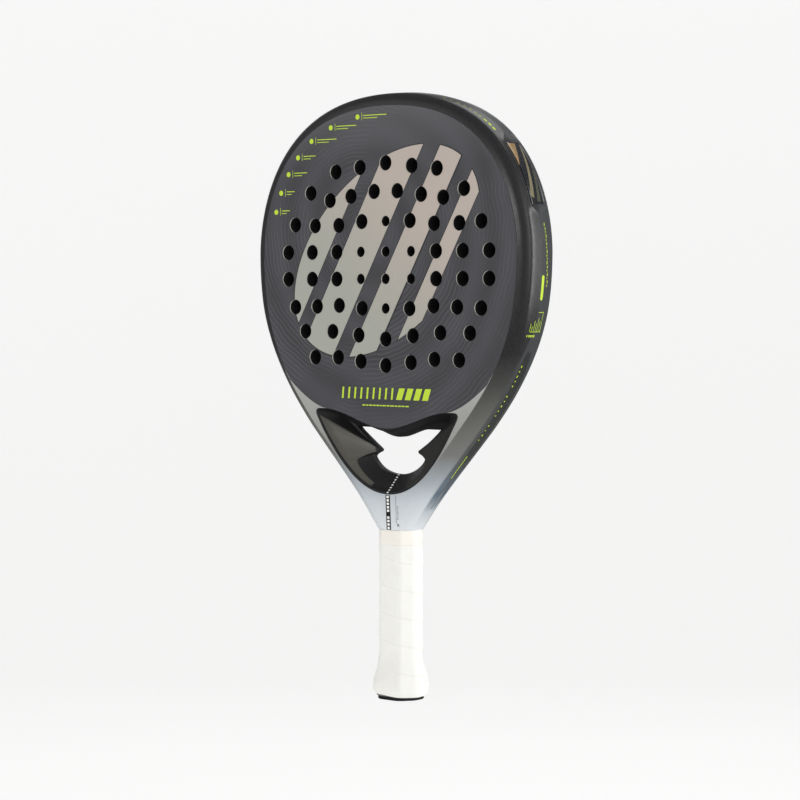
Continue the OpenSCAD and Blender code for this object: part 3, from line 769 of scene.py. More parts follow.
def perforatedSheetTree():
    tree, enter, leave = startTree("perforatedSheet", [
        ("Large Hole", "Float", 0.0115), ("Small Hole", "Float", 0.008), ("Thickness", "Float", 0.001),
        ("Inner Side", "Float", 0.0), ("Hole Facets", "Int", 44),
        ("Face Finish", "Material", None), ("Edge Finish", "Material", None)])
    outline = put(tree, "GeometryNodeMeshToCurve", {"Mesh": enter.outputs["Geometry"]})
    kind = named(tree, "holeKind")
    isHole = put(tree, "FunctionNodeCompare", {0: kind, 1: 0.5}, data_type="FLOAT", operation="GREATER_THAN")
    isSmall = put(tree, "FunctionNodeCompare", {0: kind, 1: 1.5}, data_type="FLOAT", operation="GREATER_THAN")
    points = put(tree, "GeometryNodeMeshToPoints", {
        "Mesh": enter.outputs["Geometry"], "Selection": isHole.outputs[0]})
    ring = put(tree, "GeometryNodeCurvePrimitiveCircle", {
        "Resolution": enter.outputs["Hole Facets"], "Radius": 0.5})
    width = put(tree, "GeometryNodeSwitch", {
        "Switch": isSmall.outputs[0], "False": enter.outputs["Large Hole"],
        "True": enter.outputs["Small Hole"]}, input_type="FLOAT")
    rings = put(tree, "GeometryNodeInstanceOnPoints", {
        "Points": points.outputs[0], "Instance": ring.outputs[0], "Scale": width.outputs[0]})
    real = put(tree, "GeometryNodeRealizeInstances", {"Geometry": rings.outputs[0]})
    curves = tree.nodes.new("GeometryNodeJoinGeometry")
    tree.links.new(outline.outputs[0], curves.inputs[0])
    tree.links.new(real.outputs[0], curves.inputs[0])
    filled = put(tree, "GeometryNodeFillCurve", {"Curve": curves.outputs[0]})
    up = put(tree, "ShaderNodeCombineXYZ", {"Z": 1.0})
    solid, side = closedFilm(tree, filled.outputs[0], enter.outputs["Thickness"], up.outputs[0])
    faced = put(tree, "GeometryNodeSetMaterial", {
        "Geometry": solid, "Material": enter.outputs["Face Finish"]})
    rim = put(tree, "GeometryNodeProximity", {0: enter.outputs["Geometry"]}, target_element="EDGES")
    clear = put(tree, "FunctionNodeCompare", {0: rim.outputs["Distance"], 1: 0.0015}, data_type="FLOAT",
                operation="GREATER_THAN")
    holeSide = put(tree, "FunctionNodeBooleanMath", {0: side, 1: clear.outputs[0]}, operation="AND")
    edged = put(tree, "GeometryNodeSetMaterial", {
        "Geometry": faced.outputs[0], "Selection": holeSide.outputs[0],
        "Material": enter.outputs["Edge Finish"]})
    move = put(tree, "ShaderNodeCombineXYZ", {"Y": enter.outputs["Inner Side"]})
    stood = put(tree, "GeometryNodeTransform", {
        "Geometry": edged.outputs[0], "Translation": move.outputs[0], "Rotation": (math.radians(90), 0, 0)})
    last = put(tree, "GeometryNodeRealizeInstances", {"Geometry": stood.outputs[0]})
    tree.links.new(last.outputs[0], leave.inputs[0])
    return tree


def printedMarksTree():
    # little discs and leaning bars, each on its own point, facing its own way
    tree, enter, leave = startTree("printedMarks", [
        ("Lean", "Float", 0.0), ("Film", "Float", 0.00004), ("Corner", "Int", 18), ("Ink", "Material", None)])
    square = put(tree, "GeometryNodeMeshGrid", {
        "Size X": 1.0, "Size Y": 1.0, "Vertices X": 2, "Vertices Y": 2})
    position = tree.nodes.new("GeometryNodeInputPosition")
    at = put(tree, "ShaderNodeSeparateXYZ", {"Vector": position.outputs[0]})
    lean = maths(tree, "MULTIPLY", at.outputs["Y"], enter.outputs["Lean"])
    shift = put(tree, "ShaderNodeCombineXYZ", {"X": lean})
    leaning = put(tree, "GeometryNodeSetPosition", {
        "Geometry": square.outputs[0], "Offset": shift.outputs[0]})
    disc = put(tree, "GeometryNodeMeshCircle", {"Vertices": enter.outputs["Corner"], "Radius": 0.5},
               fill_type="NGON")
    turned = put(tree, "FunctionNodeAlignRotationToVector", {"Vector": named(tree, "facing", "FLOAT_VECTOR")},
                 axis="Z")
    turned = put(tree, "FunctionNodeAlignRotationToVector", {
        "Rotation": turned.outputs[0], "Vector": named(tree, "upward", "FLOAT_VECTOR")},
        axis="Y", pivot_axis="Z")
    roundness = named(tree, "round")
    isRound = put(tree, "FunctionNodeCompare", {0: roundness, 1: 0.5}, data_type="FLOAT",
                  operation="GREATER_THAN")
    isBar = put(tree, "FunctionNodeCompare", {0: roundness, 1: 0.5}, data_type="FLOAT",
                operation="LESS_EQUAL")
    size = named(tree, "size", "FLOAT_VECTOR")
    joined = tree.nodes.new("GeometryNodeJoinGeometry")
    for shape, chosen in ((leaning, isBar), (disc, isRound)):
        placed = put(tree, "GeometryNodeInstanceOnPoints", {
            "Points": enter.outputs["Geometry"], "Selection": chosen.outputs[0],
            "Instance": shape.outputs[0], "Rotation": turned.outputs[0], "Scale": size})
        tree.links.new(placed.outputs[0], joined.inputs[0])
    real = put(tree, "GeometryNodeRealizeInstances", {"Geometry": joined.outputs[0]})
    film = closedFilm(tree, real.outputs[0], enter.outputs["Film"])[0]
    inked = put(tree, "GeometryNodeSetMaterial", {"Geometry": film, "Material": enter.outputs["Ink"]})
    tree.links.new(inked.outputs[0], leave.inputs[0])
    return tree


def wrapTree():
    # one turn of tape laps the next: each pitch starts thick and thins towards the next lap
    tree, enter, leave = startTree("wrappedTape", [
        ("Pitch", "Float", 0.0208), ("Start", "Float", 0.0175), ("Step", "Float", 0.00042),
        ("Edge", "Float", 0.045), ("Wrinkle", "Float", 0.00012), ("Seed", "Float", 3.0),
        ("Skin", "Material", None)])
    turn = named(tree, "turn")
    height = named(tree, "height")
    loose = named(tree, "loose")
    raised = maths(tree, "SUBTRACT", height, enter.outputs["Start"])
    phase = maths(tree, "ADD", maths(tree, "DIVIDE", raised, enter.outputs["Pitch"]), turn)
    part = maths(tree, "FRACT", maths(tree, "ADD", phase, 20.0))
    # part runs from the lap's own edge, 0, up to the next edge, 1
    rise = put(tree, "ShaderNodeMapRange", {
        "Value": part, "From Min": 0.0, "From Max": enter.outputs["Edge"]}, interpolation_type="SMOOTHSTEP")
    fall = put(tree, "ShaderNodeMapRange", {
        "Value": part, "From Min": 0.1, "From Max": 0.75, "To Min": 1.0, "To Max": 0.0},
        interpolation_type="SMOOTHSTEP")
    lap = maths(tree, "MULTIPLY", rise.outputs[0], fall.outputs[0])
    wave = put(tree, "ShaderNodeTexNoise", {
        "Scale": 130.0, "Detail": 2.0, "W": enter.outputs["Seed"]}, noise_dimensions="4D")
    crease = maths(tree, "MULTIPLY", maths(tree, "SUBTRACT", wave.outputs["Fac"], 0.5),
                   enter.outputs["Wrinkle"])
    lapped = maths(tree, "MULTIPLY", maths(tree, "SUBTRACT", lap, 0.45), enter.outputs["Step"])
    push = maths(tree, "ADD", lapped, crease)
    push = maths(tree, "MULTIPLY", push, loose)
    normal = tree.nodes.new("GeometryNodeInputNormal")
    offset = put(tree, "ShaderNodeVectorMath", {0: normal.outputs[0], "Scale": push}, operation="SCALE")
    # the band along each lap's edge, darkened in the skin as painted shade
    seamShadeBand = put(tree, "ShaderNodeMapRange", {
        "Value": maths(tree, "ABSOLUTE", maths(tree, "SUBTRACT", part, 0.012)),
        "From Min": 0.0, "From Max": 0.03, "To Min": 1.0, "To Max": 0.0})
    kept = put(tree, "GeometryNodeStoreNamedAttribute", {
        "Geometry": enter.outputs["Geometry"], "Name": "seamShade",
        "Value": maths(tree, "MULTIPLY", seamShadeBand.outputs[0], loose)}, data_type="FLOAT", domain="POINT")
    moved = put(tree, "GeometryNodeSetPosition", {"Geometry": kept.outputs[0], "Offset": offset.outputs[0]})
    real = put(tree, "GeometryNodeRealizeInstances", {"Geometry": moved.outputs[0]})
    skinned = put(tree, "GeometryNodeSetMaterial", {
        "Geometry": real.outputs[0], "Material": enter.outputs["Skin"]})
    tree.links.new(skinned.outputs[0], leave.inputs[0])
    return tree


trees = {"sheet": perforatedSheetTree(), "marks": printedMarksTree(), "wrap": wrapTree()}
print("node trees made:", len(trees))


def giveAttribute(mesh, name, values, kind="FLOAT"):
    made = mesh.attributes.new(name, kind, "POINT")
    flat = np.array(values, np.float32).ravel()
    made.data.foreach_set("vector" if kind == "FLOAT_VECTOR" else "value", flat)


# throat opening, right half, from the middle of its top edge round to its lowest point
throatHalf = np.interp(throat["high"], edgeZ, edgeX) - throat["cheekWidth"]
throatHigh = throat["high"] - throat["low"]
throatReach = throatHalf + throat["cornerOut"]
dipHalf = throatHalf - throat["dipInset"]
around = {"top": 42, "corner": 14, "spur": 16, "pocket": 12, "low": 54}


def throatTop(x):
    return throatMid + throat["dip"] * (1 - cosDeg(180 * min(1, abs(x) / dipHalf))) / 2


def throatSide(z):
    return np.array([throatReach * ((z - throat["low"]) / throatHigh) ** (1 / throat["sidePower"]), z])


cornerTop = np.array([throatHalf - throat["cornerRadius"], throatTop(throatHalf - throat["cornerRadius"])])
cornerLow = throatSide(throat["high"] - throat["cornerRadius"])
spurSide = throatSide(throat["low"] + throatHigh * throat["spurAt"])
pocketSide = throatSide(throat["low"] + throatHigh * throat["pocketAt"])


def throatLine():
    n = around
    line = [[cornerTop[0] * i / n["top"], throatTop(cornerTop[0] * i / n["top"])] for i in range(n["top"])]
    tip = np.array([throatReach, throat["high"]])
    line += [cornerCurve(cornerTop, tip, cornerLow, i / n["corner"]) for i in range(n["corner"])]
    line += [throatSide(mix(cornerLow[1], spurSide[1], i / n["spur"])) for i in range(n["spur"])]
    line += [throatSide(mix(spurSide[1], pocketSide[1], i / n["pocket"])) for i in range(n["pocket"])]
    for i in range(n["low"] + 1):
        x = pocketSide[0] * cosDeg(90 * i / n["low"])
        line.append([x, throat["low"] + throatHigh * (x / throatReach) ** throat["sidePower"]])
    return np.array([np.array(p, float) for p in line])


def fullLoop(right):
    left = right[::-1][1:-1] * [-1, 1]
    return np.vstack([right, left])


throatRight = throatLine()

# face sheet: the outline drawn in, with a tongue down to the throat
tongueHalf = throatHalf - throat["tongueInset"]
sheetCornerZ = throat["high"] + head["sheetCornerRise"]
sheetInset = head["faceInset"] + head["sheetLip"]
sheetSides = np.array([insetPoint(k, sheetInset) for k in range(lastStep + 1)
                       if insetPoint(k, sheetInset)[1] > sheetCornerZ])
sheetCorner = sheetSides[0]


def wingAt(x):
    rise = sheetCorner[1] - throatTop(tongueHalf)
    share = (x - tongueHalf) / (sheetCorner[0] - tongueHalf)
    return throatTop(tongueHalf) + rise * share ** head["wingPower"]


tongue = [p for p in throatRight[:around["top"]] if p[0] < tongueHalf - 0.3]
wing = [np.array([x, wingAt(x)]) for x in np.linspace(tongueHalf, sheetCorner[0], 25)[:-1]]
sheetLoop = fullLoop(np.vstack([tongue, wing, sheetSides]))

# the frame's inner edge seen from the front: round the throat, then up the wing and the sheet
throatPart = throatRight[::-1]
throatPart = [p for p in throatPart if not (p[1] > throatMid - 1 and p[0] < tongueHalf + 0.05)]
innerLoop = fullLoop(np.vstack([throatPart, wing, sheetSides]))


# the flat bands' own points: an even grid over the lower head, kept clear of every edge
band = {
    "halfWide": 124,
    "aboveNeck": 3,
    "top": 262,
    "step": 4.0,
    "clear": 1.6,
}

# the rear coat's front edge, in shares of the half depth: further forward down the cheeks
coat = {
    "cheekForward": 0.52,
    "rimForward": 0.12,
    "blendFrom": 245,
    "blendOver": 45,
    "softness": 0.1,
}


def frameRings():
    # the outer wall, ring by ring, from one side of the neck over the crown to the other
    rings = []
    land = []
    rear = []
    for side, steps in ((1, range(lastStep + 1)), (-1, range(lastStep - 1, -1, -1))):
        for k in steps:
            ringZ = edges[k][0][1]
            section = rimSection(ringZ)
            ends = (0, len(section) - 1)
            share = smooth((ringZ - coat["blendFrom"]) / coat["blendOver"])
            forward = mix(coat["cheekForward"], coat["rimForward"], share)
            for at, (inset, y) in enumerate(section):
                x, z = insetPoint(k, inset)
                rings.append([side * x, y * halfDepth(z) / halfDepth(ringZ), z])
                land.append(1.0 if at in ends else 0.0)
                rear.append(smooth((y / halfDepth(ringZ) + forward) / coat["softness"]))
    return rings, land, rear


def inBand(point, outer):
    return inside(point, outer) and not inside(point, innerLoop)


def bandPoints(outer):
    edgePoints = np.vstack([outer, innerLoop])
    keep = []
    for x in np.arange(-band["halfWide"], band["halfWide"] + 1, band["step"]):
        for z in np.arange(head["neckTop"] + band["aboveNeck"], band["top"], band["step"]):
            point = np.array([x, z])
            near = np.min(np.hypot(*(edgePoints - point).T))
            if near > band["clear"] and inBand(point, outer):
                keep.append(point)
    return keep


def frameSurface():
    verts, land, rear = frameRings()
    total = 2 * lastStep + 1
    count = len(verts) // total
    faces = quads(total, count, False)

    def addFrontAndBack(points):
        for side in (-1, 1):
            for point in points:
                verts.append([point[0], side * halfDepth(point[1]), point[1]])
                land.append(1.0)
                rear.append(1.0 if side > 0 else 0.0)

    # flat bands front and back between the bevel and the inner edge
    outer = np.array([verts[i * count] for i in range(total)])[:, [0, 2]]
    flat = np.vstack([outer, innerLoop, bandPoints(outer)])
    n, m = len(outer), len(innerLoop)
    lines = [(i, (i + 1) % n) for i in range(n)] + [(n + i, n + (i + 1) % m) for i in range(m)]
    result = geometry.delaunay_2d_cdt([Vector(p) for p in flat], lines, [], 0, 1e-6)
    points, triangles = result[0], result[2]
    start = len(verts)
    addFrontAndBack(points)
    for tri in triangles:
        middle = sum((np.array(points[i]) for i in tri), np.zeros(2)) / 3
        if inBand(middle, outer):
            faces.append(tuple(start + i for i in tri))
            faces.append(tuple(start + len(points) + i for i in tri))
    # the wall of the opening, front to back
    first = len(verts)
    addFrontAndBack(innerLoop)
    for i in range(m):
        j = (i + 1) % m
        faces.append((first + i, first + j, first + m + j, first + m + i))
    return verts, faces, land, rear


def buildFrame():
    verts, faces, land, rear = frameSurface()
    mesh = toMesh("frameShell", verts, faces)
    giveAttribute(mesh, "land", land)
    giveAttribute(mesh, "rear", rear)
    print("frame shell open edges:", turnOut(mesh, 0.004))
    shell = toObject("frameShell", mesh)
    shade(shell, 32)
    mesh.materials.append(finishes["framePaint"])
    return shell


frameShell = buildFrame()
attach(frameShell, "root")
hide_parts("frame_tube")
print("frame shell:", len(frameShell.data.polygons), "faces")

# face holes, as column and row from the middle of the pattern, for the right half
holes = {
    "large": 11.5,
    "small": 8,
    "pitchX": 23.75,
    "pitchZ": 150.5 / 7.26,
    "middleZ": 326.13,
    "largePlan": [
        (0, 3.66), (1.03, 3.53), (2.01, 3.4),
        (0.46, 2.65), (1.4, 2.5), (2.25, 2.37), (3.05, 2.66),
        (0.96, 1.58), (1.9, 1.46), (2.87, 1.46), (3.7, 1.51),
        (1.98, 0.49), (3, 0.49), (4, 0.49),
        (1.98, -0.49), (3, -0.49), (4, -0.49),
        (0.95, -1.55), (1.88, -1.45), (2.79, -1.49), (3.7, -1.52),
        (0, -2.65), (1.08, -2.52), (2.15, -2.4), (3.28, -2.4),
        (0, -3.6), (1, -3.47), (1.92, -3.34), (2.87, -3.35),
    ],
    "smallPlan": [(0, 1.58), (0, 0.49), (1, 0.49), (0, -0.49), (1, -0.49), (0, -1.55)],
}


def holePoints(plan):
    points = []
    for column, row in plan:
        for side in ([1] if column == 0 else [-1, 1]):
            points.append([side * column * holes["pitchX"], holes["middleZ"] + row * holes["pitchZ"]])
    return points


def buildFace(name, node, inner, finishName):
    large = holePoints(holes["largePlan"])
    small = holePoints(holes["smallPlan"])
    flat = [list(p) for p in sheetLoop] + large + small
    count = len(sheetLoop)
    mesh = bpy.data.meshes.new(name)
    mesh.from_pydata([(x * mm, z * mm, 0) for x, z in flat], [(i, (i + 1) % count) for i in range(count)], [])
    giveAttribute(mesh, "holeKind", [0] * count + [1] * len(large) + [2] * len(small))
    sheet = toObject(name, mesh)
    bake(sheet, trees["sheet"], {
        "Large Hole": holes["large"] * mm, "Small Hole": holes["small"] * mm,
        "Thickness": head["sheetThickness"] * mm, "Inner Side": inner * mm, "Hole Facets": 44,
        "Face Finish": finishes[finishName], "Edge Finish": finishes["cutEdge"]})
    shade(sheet, 30)
    soften = sheet.modifiers.new("softEdge", "BEVEL")
    soften.width = 0.00014
    soften.segments = 1
    soften.limit_method = "ANGLE"
    soften.angle_limit = math.radians(50)
    settle(sheet, node)
    print(name, len(sheet.data.polygons), "faces")


buildFace("faceFront", "face_front", -(halfThick - head["sheetThickness"]), "faceFront")
buildFace("faceBack", "face_back", halfThick, "faceBack")

# throat insert: narrowest outline at mid-thickness, with its two spurs
gate = {
    "corner": (39.3, 204),
    "dip": (0, 197.4),
    "control": (29, 194),
    "spurTip": (18, 187.3),
    "spurRound": (18.6, 185.8),
    "notch": (25.3, 183),
    "lowMiddle": 189,
    "lowWide": 26.5,
    "lowDeep": 19.7,
    "topHalf": 28,
}


def gateLine():
    n = around
    corner, tip = np.array(gate["corner"]), np.array(gate["spurTip"])
    line = []
    for i in range(n["top"]):
        x = gate["corner"][0] * i / n["top"]
        rise = (1 - cosDeg(180 * min(1, x / gate["topHalf"]))) / 2
        line.append([x, gate["dip"][1] + (gate["corner"][1] - gate["dip"][1]) * rise])
    line += [cornerCurve(corner, np.array(gate["control"]), tip, i / n["corner"]) for i in range(n["corner"])]
    line += [mix(tip, np.array(gate["spurRound"]), i / n["spur"]) for i in range(n["spur"])]
    line += [mix(np.array(gate["spurRound"]), np.array(gate["notch"]), i / n["pocket"])
             for i in range(n["pocket"])]
    notchAngle = math.degrees(math.acos(gate["notch"][0] / gate["lowWide"]))
    for i in range(n["low"] + 1):
        a = mix(notchAngle, 90, i / n["low"])
        line.append([gate["lowWide"] * cosDeg(a), gate["lowMiddle"] - gate["lowDeep"] * sinDeg(a)])
    return np.array([np.array(p, float) for p in line])


gateRight = gateLine()


# where each stretch round the throat ends, counted in points from the middle of its top edge
cornerStart = around["top"]
spurStart = cornerStart + around["corner"]
pocketStart = spurStart + around["spur"]
lowStart = pocketStart + around["pocket"]

# the insert's crease at each of those places: share of the way from rim to gate, share of the depth
crease = {
    "dip": (0.5, 0.62),
    "corner": (0.5, 0.8),
    "spur": (0.93, 0.93),
    "pocket": (0.45, 0.3),
    "bottom": (0.1, 0.12),
    "cornerSwell": 0.1,
}


def creaseBetween(one, other, t):
    return [mix(a, b, t) for a, b in zip(crease[one], crease[other])]


def creaseAt(i):
    if i < cornerStart:
        return creaseBetween("dip", "corner", i / cornerStart)
    if i < spurStart:
        t = (i - cornerStart) / around["corner"]
        share, fall = creaseBetween("corner", "spur", t)
        return share, fall + crease["cornerSwell"] * math.sin(math.pi * min(1, t * 1.15))
    if i < pocketStart:
        return crease["spur"]
    if i < lowStart:
        return creaseBetween("spur", "pocket", (i - pocketStart) / around["pocket"])
    return creaseBetween("pocket", "bottom", (i - lowStart) / around["low"])


def shrink(point, d):
    middle = np.array([0, throat["low"] + throatHigh * throat["middleAt"]])
    way = point - middle
    return point - d * way / np.linalg.norm(way)


# the rounded rim of the insert, as steps inward and down
rim = throat["rim"]
rollStops = [(0, 2.0), (0, 0.5), (0.15, 0.12), (0.5, 0), (rim - 0.5, 0), (rim - 0.05, 0.14),
             (rim + 0.25, 0.5), (rim + 0.5, 0.9)]
# rows of the wall, as shares of the way from lip to crease and from crease to gate
lipShares = (0.2, 0.4, 0.6, 0.8, 0.96)
gateShares = (0.04, 0.25, 0.5, 0.75, 0.92)
lipAt = 1 + len(rollStops)
creasedAt = lipAt + 1 + len(lipShares)


def insertRows():
    # each row is a list of [x, depth, z] round the right half of the throat, rim first
    depth = [halfDepth(p[1]) for p in throatRight]
    rows = [[[p[0], 0, p[1]] for p in throatRight]]
    for inward, drop in rollStops:
        drawn = [shrink(p, inward) for p in throatRight]
        rows.append([[q[0], d - drop, q[1]] for q, d in zip(drawn, depth)])
    lip = [shrink(p, rim + 0.8) for p in throatRight]
    lipDepth = [d - 1.2 for d in depth]
    rows.append([[q[0], d, q[1]] for q, d in zip(lip, lipDepth)])
    creases = []
    for i in range(len(throatRight)):
        share, fall = creaseAt(i)
        at = mix(lip[i], gateRight[i], share)
        creases.append([at[0], mix(lipDepth[i], throat["land"], fall), at[1]])
    lipRow = np.array(rows[-1])
    creaseRow = np.array(creases)
    gateRow = np.array([[g[0], throat["land"], g[1]] for g in gateRight])
    rows += [mix(lipRow, creaseRow, t) for t in lipShares]
    rows += [mix(creaseRow, gateRow, t) for t in gateShares]
    rows.append([[g[0], throat["land"] - 0.5, g[1]] for g in gateRight])
    rows.append([[g[0], 0, g[1]] for g in gateRight])
    return [np.array(r, float) for r in rows]


def buildInsert(name, node, side):
    rows = insertRows()
    verts = []
    facetHighlight = []
    pocket = []
    steps = len(throatRight)
    order = list(range(steps)) + list(range(steps - 2, 0, -1))
    for r, row in enumerate(rows):
        for place, i in enumerate(order):
            x, y, z = row[i]
            left = place >= steps
            verts.append([-x if left else x, side * y, z])
            alongFacet = spurStart - 2 < i < lowStart + around["low"] * 0.72
            onFacet = alongFacet and lipAt <= r < creasedAt
            # the left facet carries the full painted highlight, the right facet a fifth of it
            facetHighlight.append((1.0 if left else 0.2) if onFacet else 0.0)
            pocket.append(1.0 if r >= creasedAt else 0.0)
    count = len(order)
    mesh = toMesh(name, verts, ringFaces(len(rows), count))
    giveAttribute(mesh, "facetHighlight", facetHighlight)
    giveAttribute(mesh, "pocket", pocket)
    turnOut(mesh)
    piece = toObject(name, mesh)
    shade(piece, 28)
    mesh.materials.append(finishes["insert"])
    settle(piece, node)
    print(name, len(mesh.polygons), "faces")


buildInsert("insertFront", "throat_insert_front", -1)
buildInsert("insertBack", "throat_insert_back", 1)


def wallRing(z):
    # side wall at a height: distances from the middle and insets, back to front
    half = rimHalf(z)
    ys = [-p[1] for p in half] + [p[1] for p in half][::-1]
    insets = [p[0] for p in half] + [p[0] for p in half][::-1]
    return np.array(ys), np.array(insets)


def wallPoint(side, z, y, lift=0.0):
    # a point on the side wall at a height and a distance from the middle, lifted off it
    ys, insets = wallRing(z)
    inset = float(np.interp(y, ys, insets)) - lift
    point, normal = edgeNear(z)
    at = point - inset * normal
    return np.array([side * at[0], y, at[1]])


def floorPoint(side, z, y, lift=0.0):
    # a point on the floor of a sunk panel
    point, normal = edgeNear(z)
    at = point - (head["lipInset"] + panels["depth"] - lift) * normal
    return np.array([side * at[0], y, at[1]])


def buildPanelFilm(name, node, side, low, high, finishName):
    # a film laid in a sunk panel, with softened edges and its own map along it
    film = panels["filmThickness"]
    rows = 90
    profile = [(0.0, 1.0), (0.55, 1.0), (0.85, 0.985), (1.0, 0.94)]
    verts = []
    uvs = []
    for i in range(rows + 1):
        t = i / rows
        z = mix(low + panels["gap"], high - panels["gap"], t)
        half = min(panelHalf(z), halfDepth(z) - head["bevel"] - 6) - 0.4 - panels["gap"]
        outline = [(share * film, -half * wide) for share, wide in profile]
        outline += [(film, -half * wide) for wide in (0.6, 0.2)]
        outline += [(film, half * wide) for wide in (0.2, 0.6)]
        outline += [(share * film, half * wide) for share, wide in profile[::-1]]
        for lift, y in outline:
            verts.append(floorPoint(side, z, y, lift))
            uvs.append((t, 0.5 + y / (2 * panels["windowHalf"])))
    count = len(outline)
    faces = quads(rows + 1, count, True)
    faces.append(tuple(range(count)))
    faces.append(tuple(rows * count + j for j in range(count)))
    mesh = toMesh(name, verts, faces)
    layer = mesh.uv_layers.new(name="along")
    for loop in mesh.loops:
        layer.data[loop.index].uv = uvs[loop.vertex_index]
    turnOut(mesh)
    piece = toObject(name, mesh)
    shade(piece, 35)
    mesh.materials.append(finishes[finishName])
    settle(piece, node)


for word, side in (("Right", 1), ("Left", -1)):
    buildPanelFilm("sideStrip" + word, "side_strip_" + word.lower(), side,
                   panels["stripLow"], panels["stripHigh"], "strip")
    buildPanelFilm("shoulderWindow" + word, "shoulder_panel_" + word.lower(), side,
                   panels["windowLow"], panels["windowHigh"], "window")
print("panel films laid")


def gripLoop(extra, corner=0.25, steps=6):
    a = grip["width"] / 2 + extra
    b = grip["thickness"] / 2 + extra
    u = grip["width"] * grip["frontFlat"] + extra * 0.45
    v = grip["thickness"] * grip["sideFlat"] + extra * 0.45
    c = np.array([[u, -b], [a, -v], [a, v], [u, b], [-u, b], [-a, v], [-a, -v], [-u, -b]])
    loop = []
    for i in range(8):
        before, at, after = c[i - 1], c[i], c[(i + 1) % 8]
        start, end = mix(at, before, corner), mix(at, after, corner)
        loop += [cornerCurve(start, at, end, t / steps) for t in range(steps + 1)]
        nextStart = mix(after, at, corner)
        loop += [mix(end, nextStart, t / 5) for t in range(1, 5)]
    return np.array(loop)


def flareAt(z):
    if z >= grip["flareHeight"]:
        return 0
    s = (z - grip["capEdge"]) / (grip["flareHeight"] - grip["capEdge"])
    rise = grip["flareRise"]
    if s < rise:
        return grip["flare"] * mix(0.6, 1, sinDeg(90 * max(-0.6, s / rise)))
    return grip["flare"] * (1 - smooth((s - rise) / (1 - rise)))


def sleeve(name, outerRows, innerRows, attributes=None):
    # closed sleeve from two stacks of rings given as (loop, height per point)
    verts = []
    for loop, z in outerRows + innerRows[::-1]:
        for j, p in enumerate(loop):
            verts.append([p[0], p[1], z[j] if hasattr(z, "__len__") else z])
    rows = len(outerRows) + len(innerRows)
    mesh = toMesh(name, verts, ringFaces(rows, len(outerRows[0][0])))
    for key, values in (attributes or {}).items():
        giveAttribute(mesh, key, values)
    turnOut(mesh)
    return toObject(name, mesh)


wrap = {
    "pitch": 20.8,
    "start": 17.5,
    "step": 0.34,
    "wrinkle": 0.16,
    "lowEdge": 2.4,
    "edgeSlant": 2.2,
    "firstRow": 3.2,
    "rowGap": 0.55,
    "tucked": [(1.1, 0.1), (0.55, 0.0), (0.2, 0.2)],
}


def buildOvergrip():
    # the butt end's lower edge runs up to one side, as a spiral wrap starts
    base = gripLoop(0)
    count = len(base)
    turns = np.arctan2(base[:, 1], base[:, 0]) / (2 * math.pi)
    slant = np.array([wrap["lowEdge"] + wrap["edgeSlant"] * (0.5 - 0.5 * math.cos(2 * math.pi * (t + 0.02)))
                      for t in turns])
    outer = []
    # the tucked lower edge first, then up the handle
    for inward, up in wrap["tucked"]:
        outer.append((gripLoop(flareAt(2.2) - inward), slant + up))
    first = wrap["firstRow"]
    for z in np.arange(first, grip["tapeLow"] - 0.1, wrap["rowGap"]):
        fade = max(0, 1 - (z - first) / 6)
        outer.append((gripLoop(flareAt(z)), z - fade * (first - slant - 0.7)))
    outer.append((gripLoop(0), grip["tapeLow"] - 0.1))
    outer.append((gripLoop(-0.3), grip["tapeLow"]))
    outer.append((gripLoop(-0.3), grip["top"]))
    inner = [(gripLoop(flareAt(first) - grip["overgrip"] - 0.6), 2.6 + (slant - 1.0))]
    inner += [(gripLoop(flareAt(z) - grip["overgrip"]), z)
              for z in (*np.arange(4.2, 36, 2.0), 60, 90, grip["top"])]
    rows = outer + inner[::-1]
    turnOf = np.tile(turns, len(rows))
    heightOf = []
    looseOf = []
    for index, (loop, z) in enumerate(rows):
        level = z if hasattr(z, "__len__") else np.full(count, z)
        heightOf += list(np.array(level) * mm)
        onSkin = len(wrap["tucked"]) <= index < len(outer) - 3
        top = smooth((grip["tapeLow"] - 1 - np.mean(level)) / 2) if onSkin else 0
        looseOf += [top * smooth((np.mean(level) - 4) / 3)] * count
    piece = sleeve("overgrip", outer, inner,
                   {"turn": turnOf, "height": heightOf, "loose": looseOf})
    bake(piece, trees["wrap"], {
        "Pitch": wrap["pitch"] * mm, "Start": wrap["start"] * mm, "Step": wrap["step"] * mm,
        "Wrinkle": wrap["wrinkle"] * mm, "Skin": finishes["overgrip"]})
    shade(piece, 60)
    settle(piece, "overgrip")
    print("overgrip:", len(piece.data.polygons), "faces")


buildOvergrip()


def buildTape():
    out = [(gripLoop(0.02 - 0.3 * sunk), z) for sunk, z in (
        (0.55, 116.98), (0.1, 117.05), (0, 117.3), (0, 120), (0, 124), (0, 127.6),
        (0.2, 127.9), (0.7, 128))]
    inn = [(gripLoop(-0.29), 116.98), (gripLoop(-0.29), 128)]
    piece = sleeve("finishingTape", out, inn)
    shade(piece, 50)
    piece.data.materials.append(finishes["tape"])
    settle(piece, "finishing_tape")


buildTape()


# the butt cap: the cord hole's radius and depth, the height of its edge and of its skirt
cap = {
    "hole": 4.0,
    "holeDeep": 4.0,
    "edgeHigh": 3.0,
    "skirtHigh": 26.0,
}


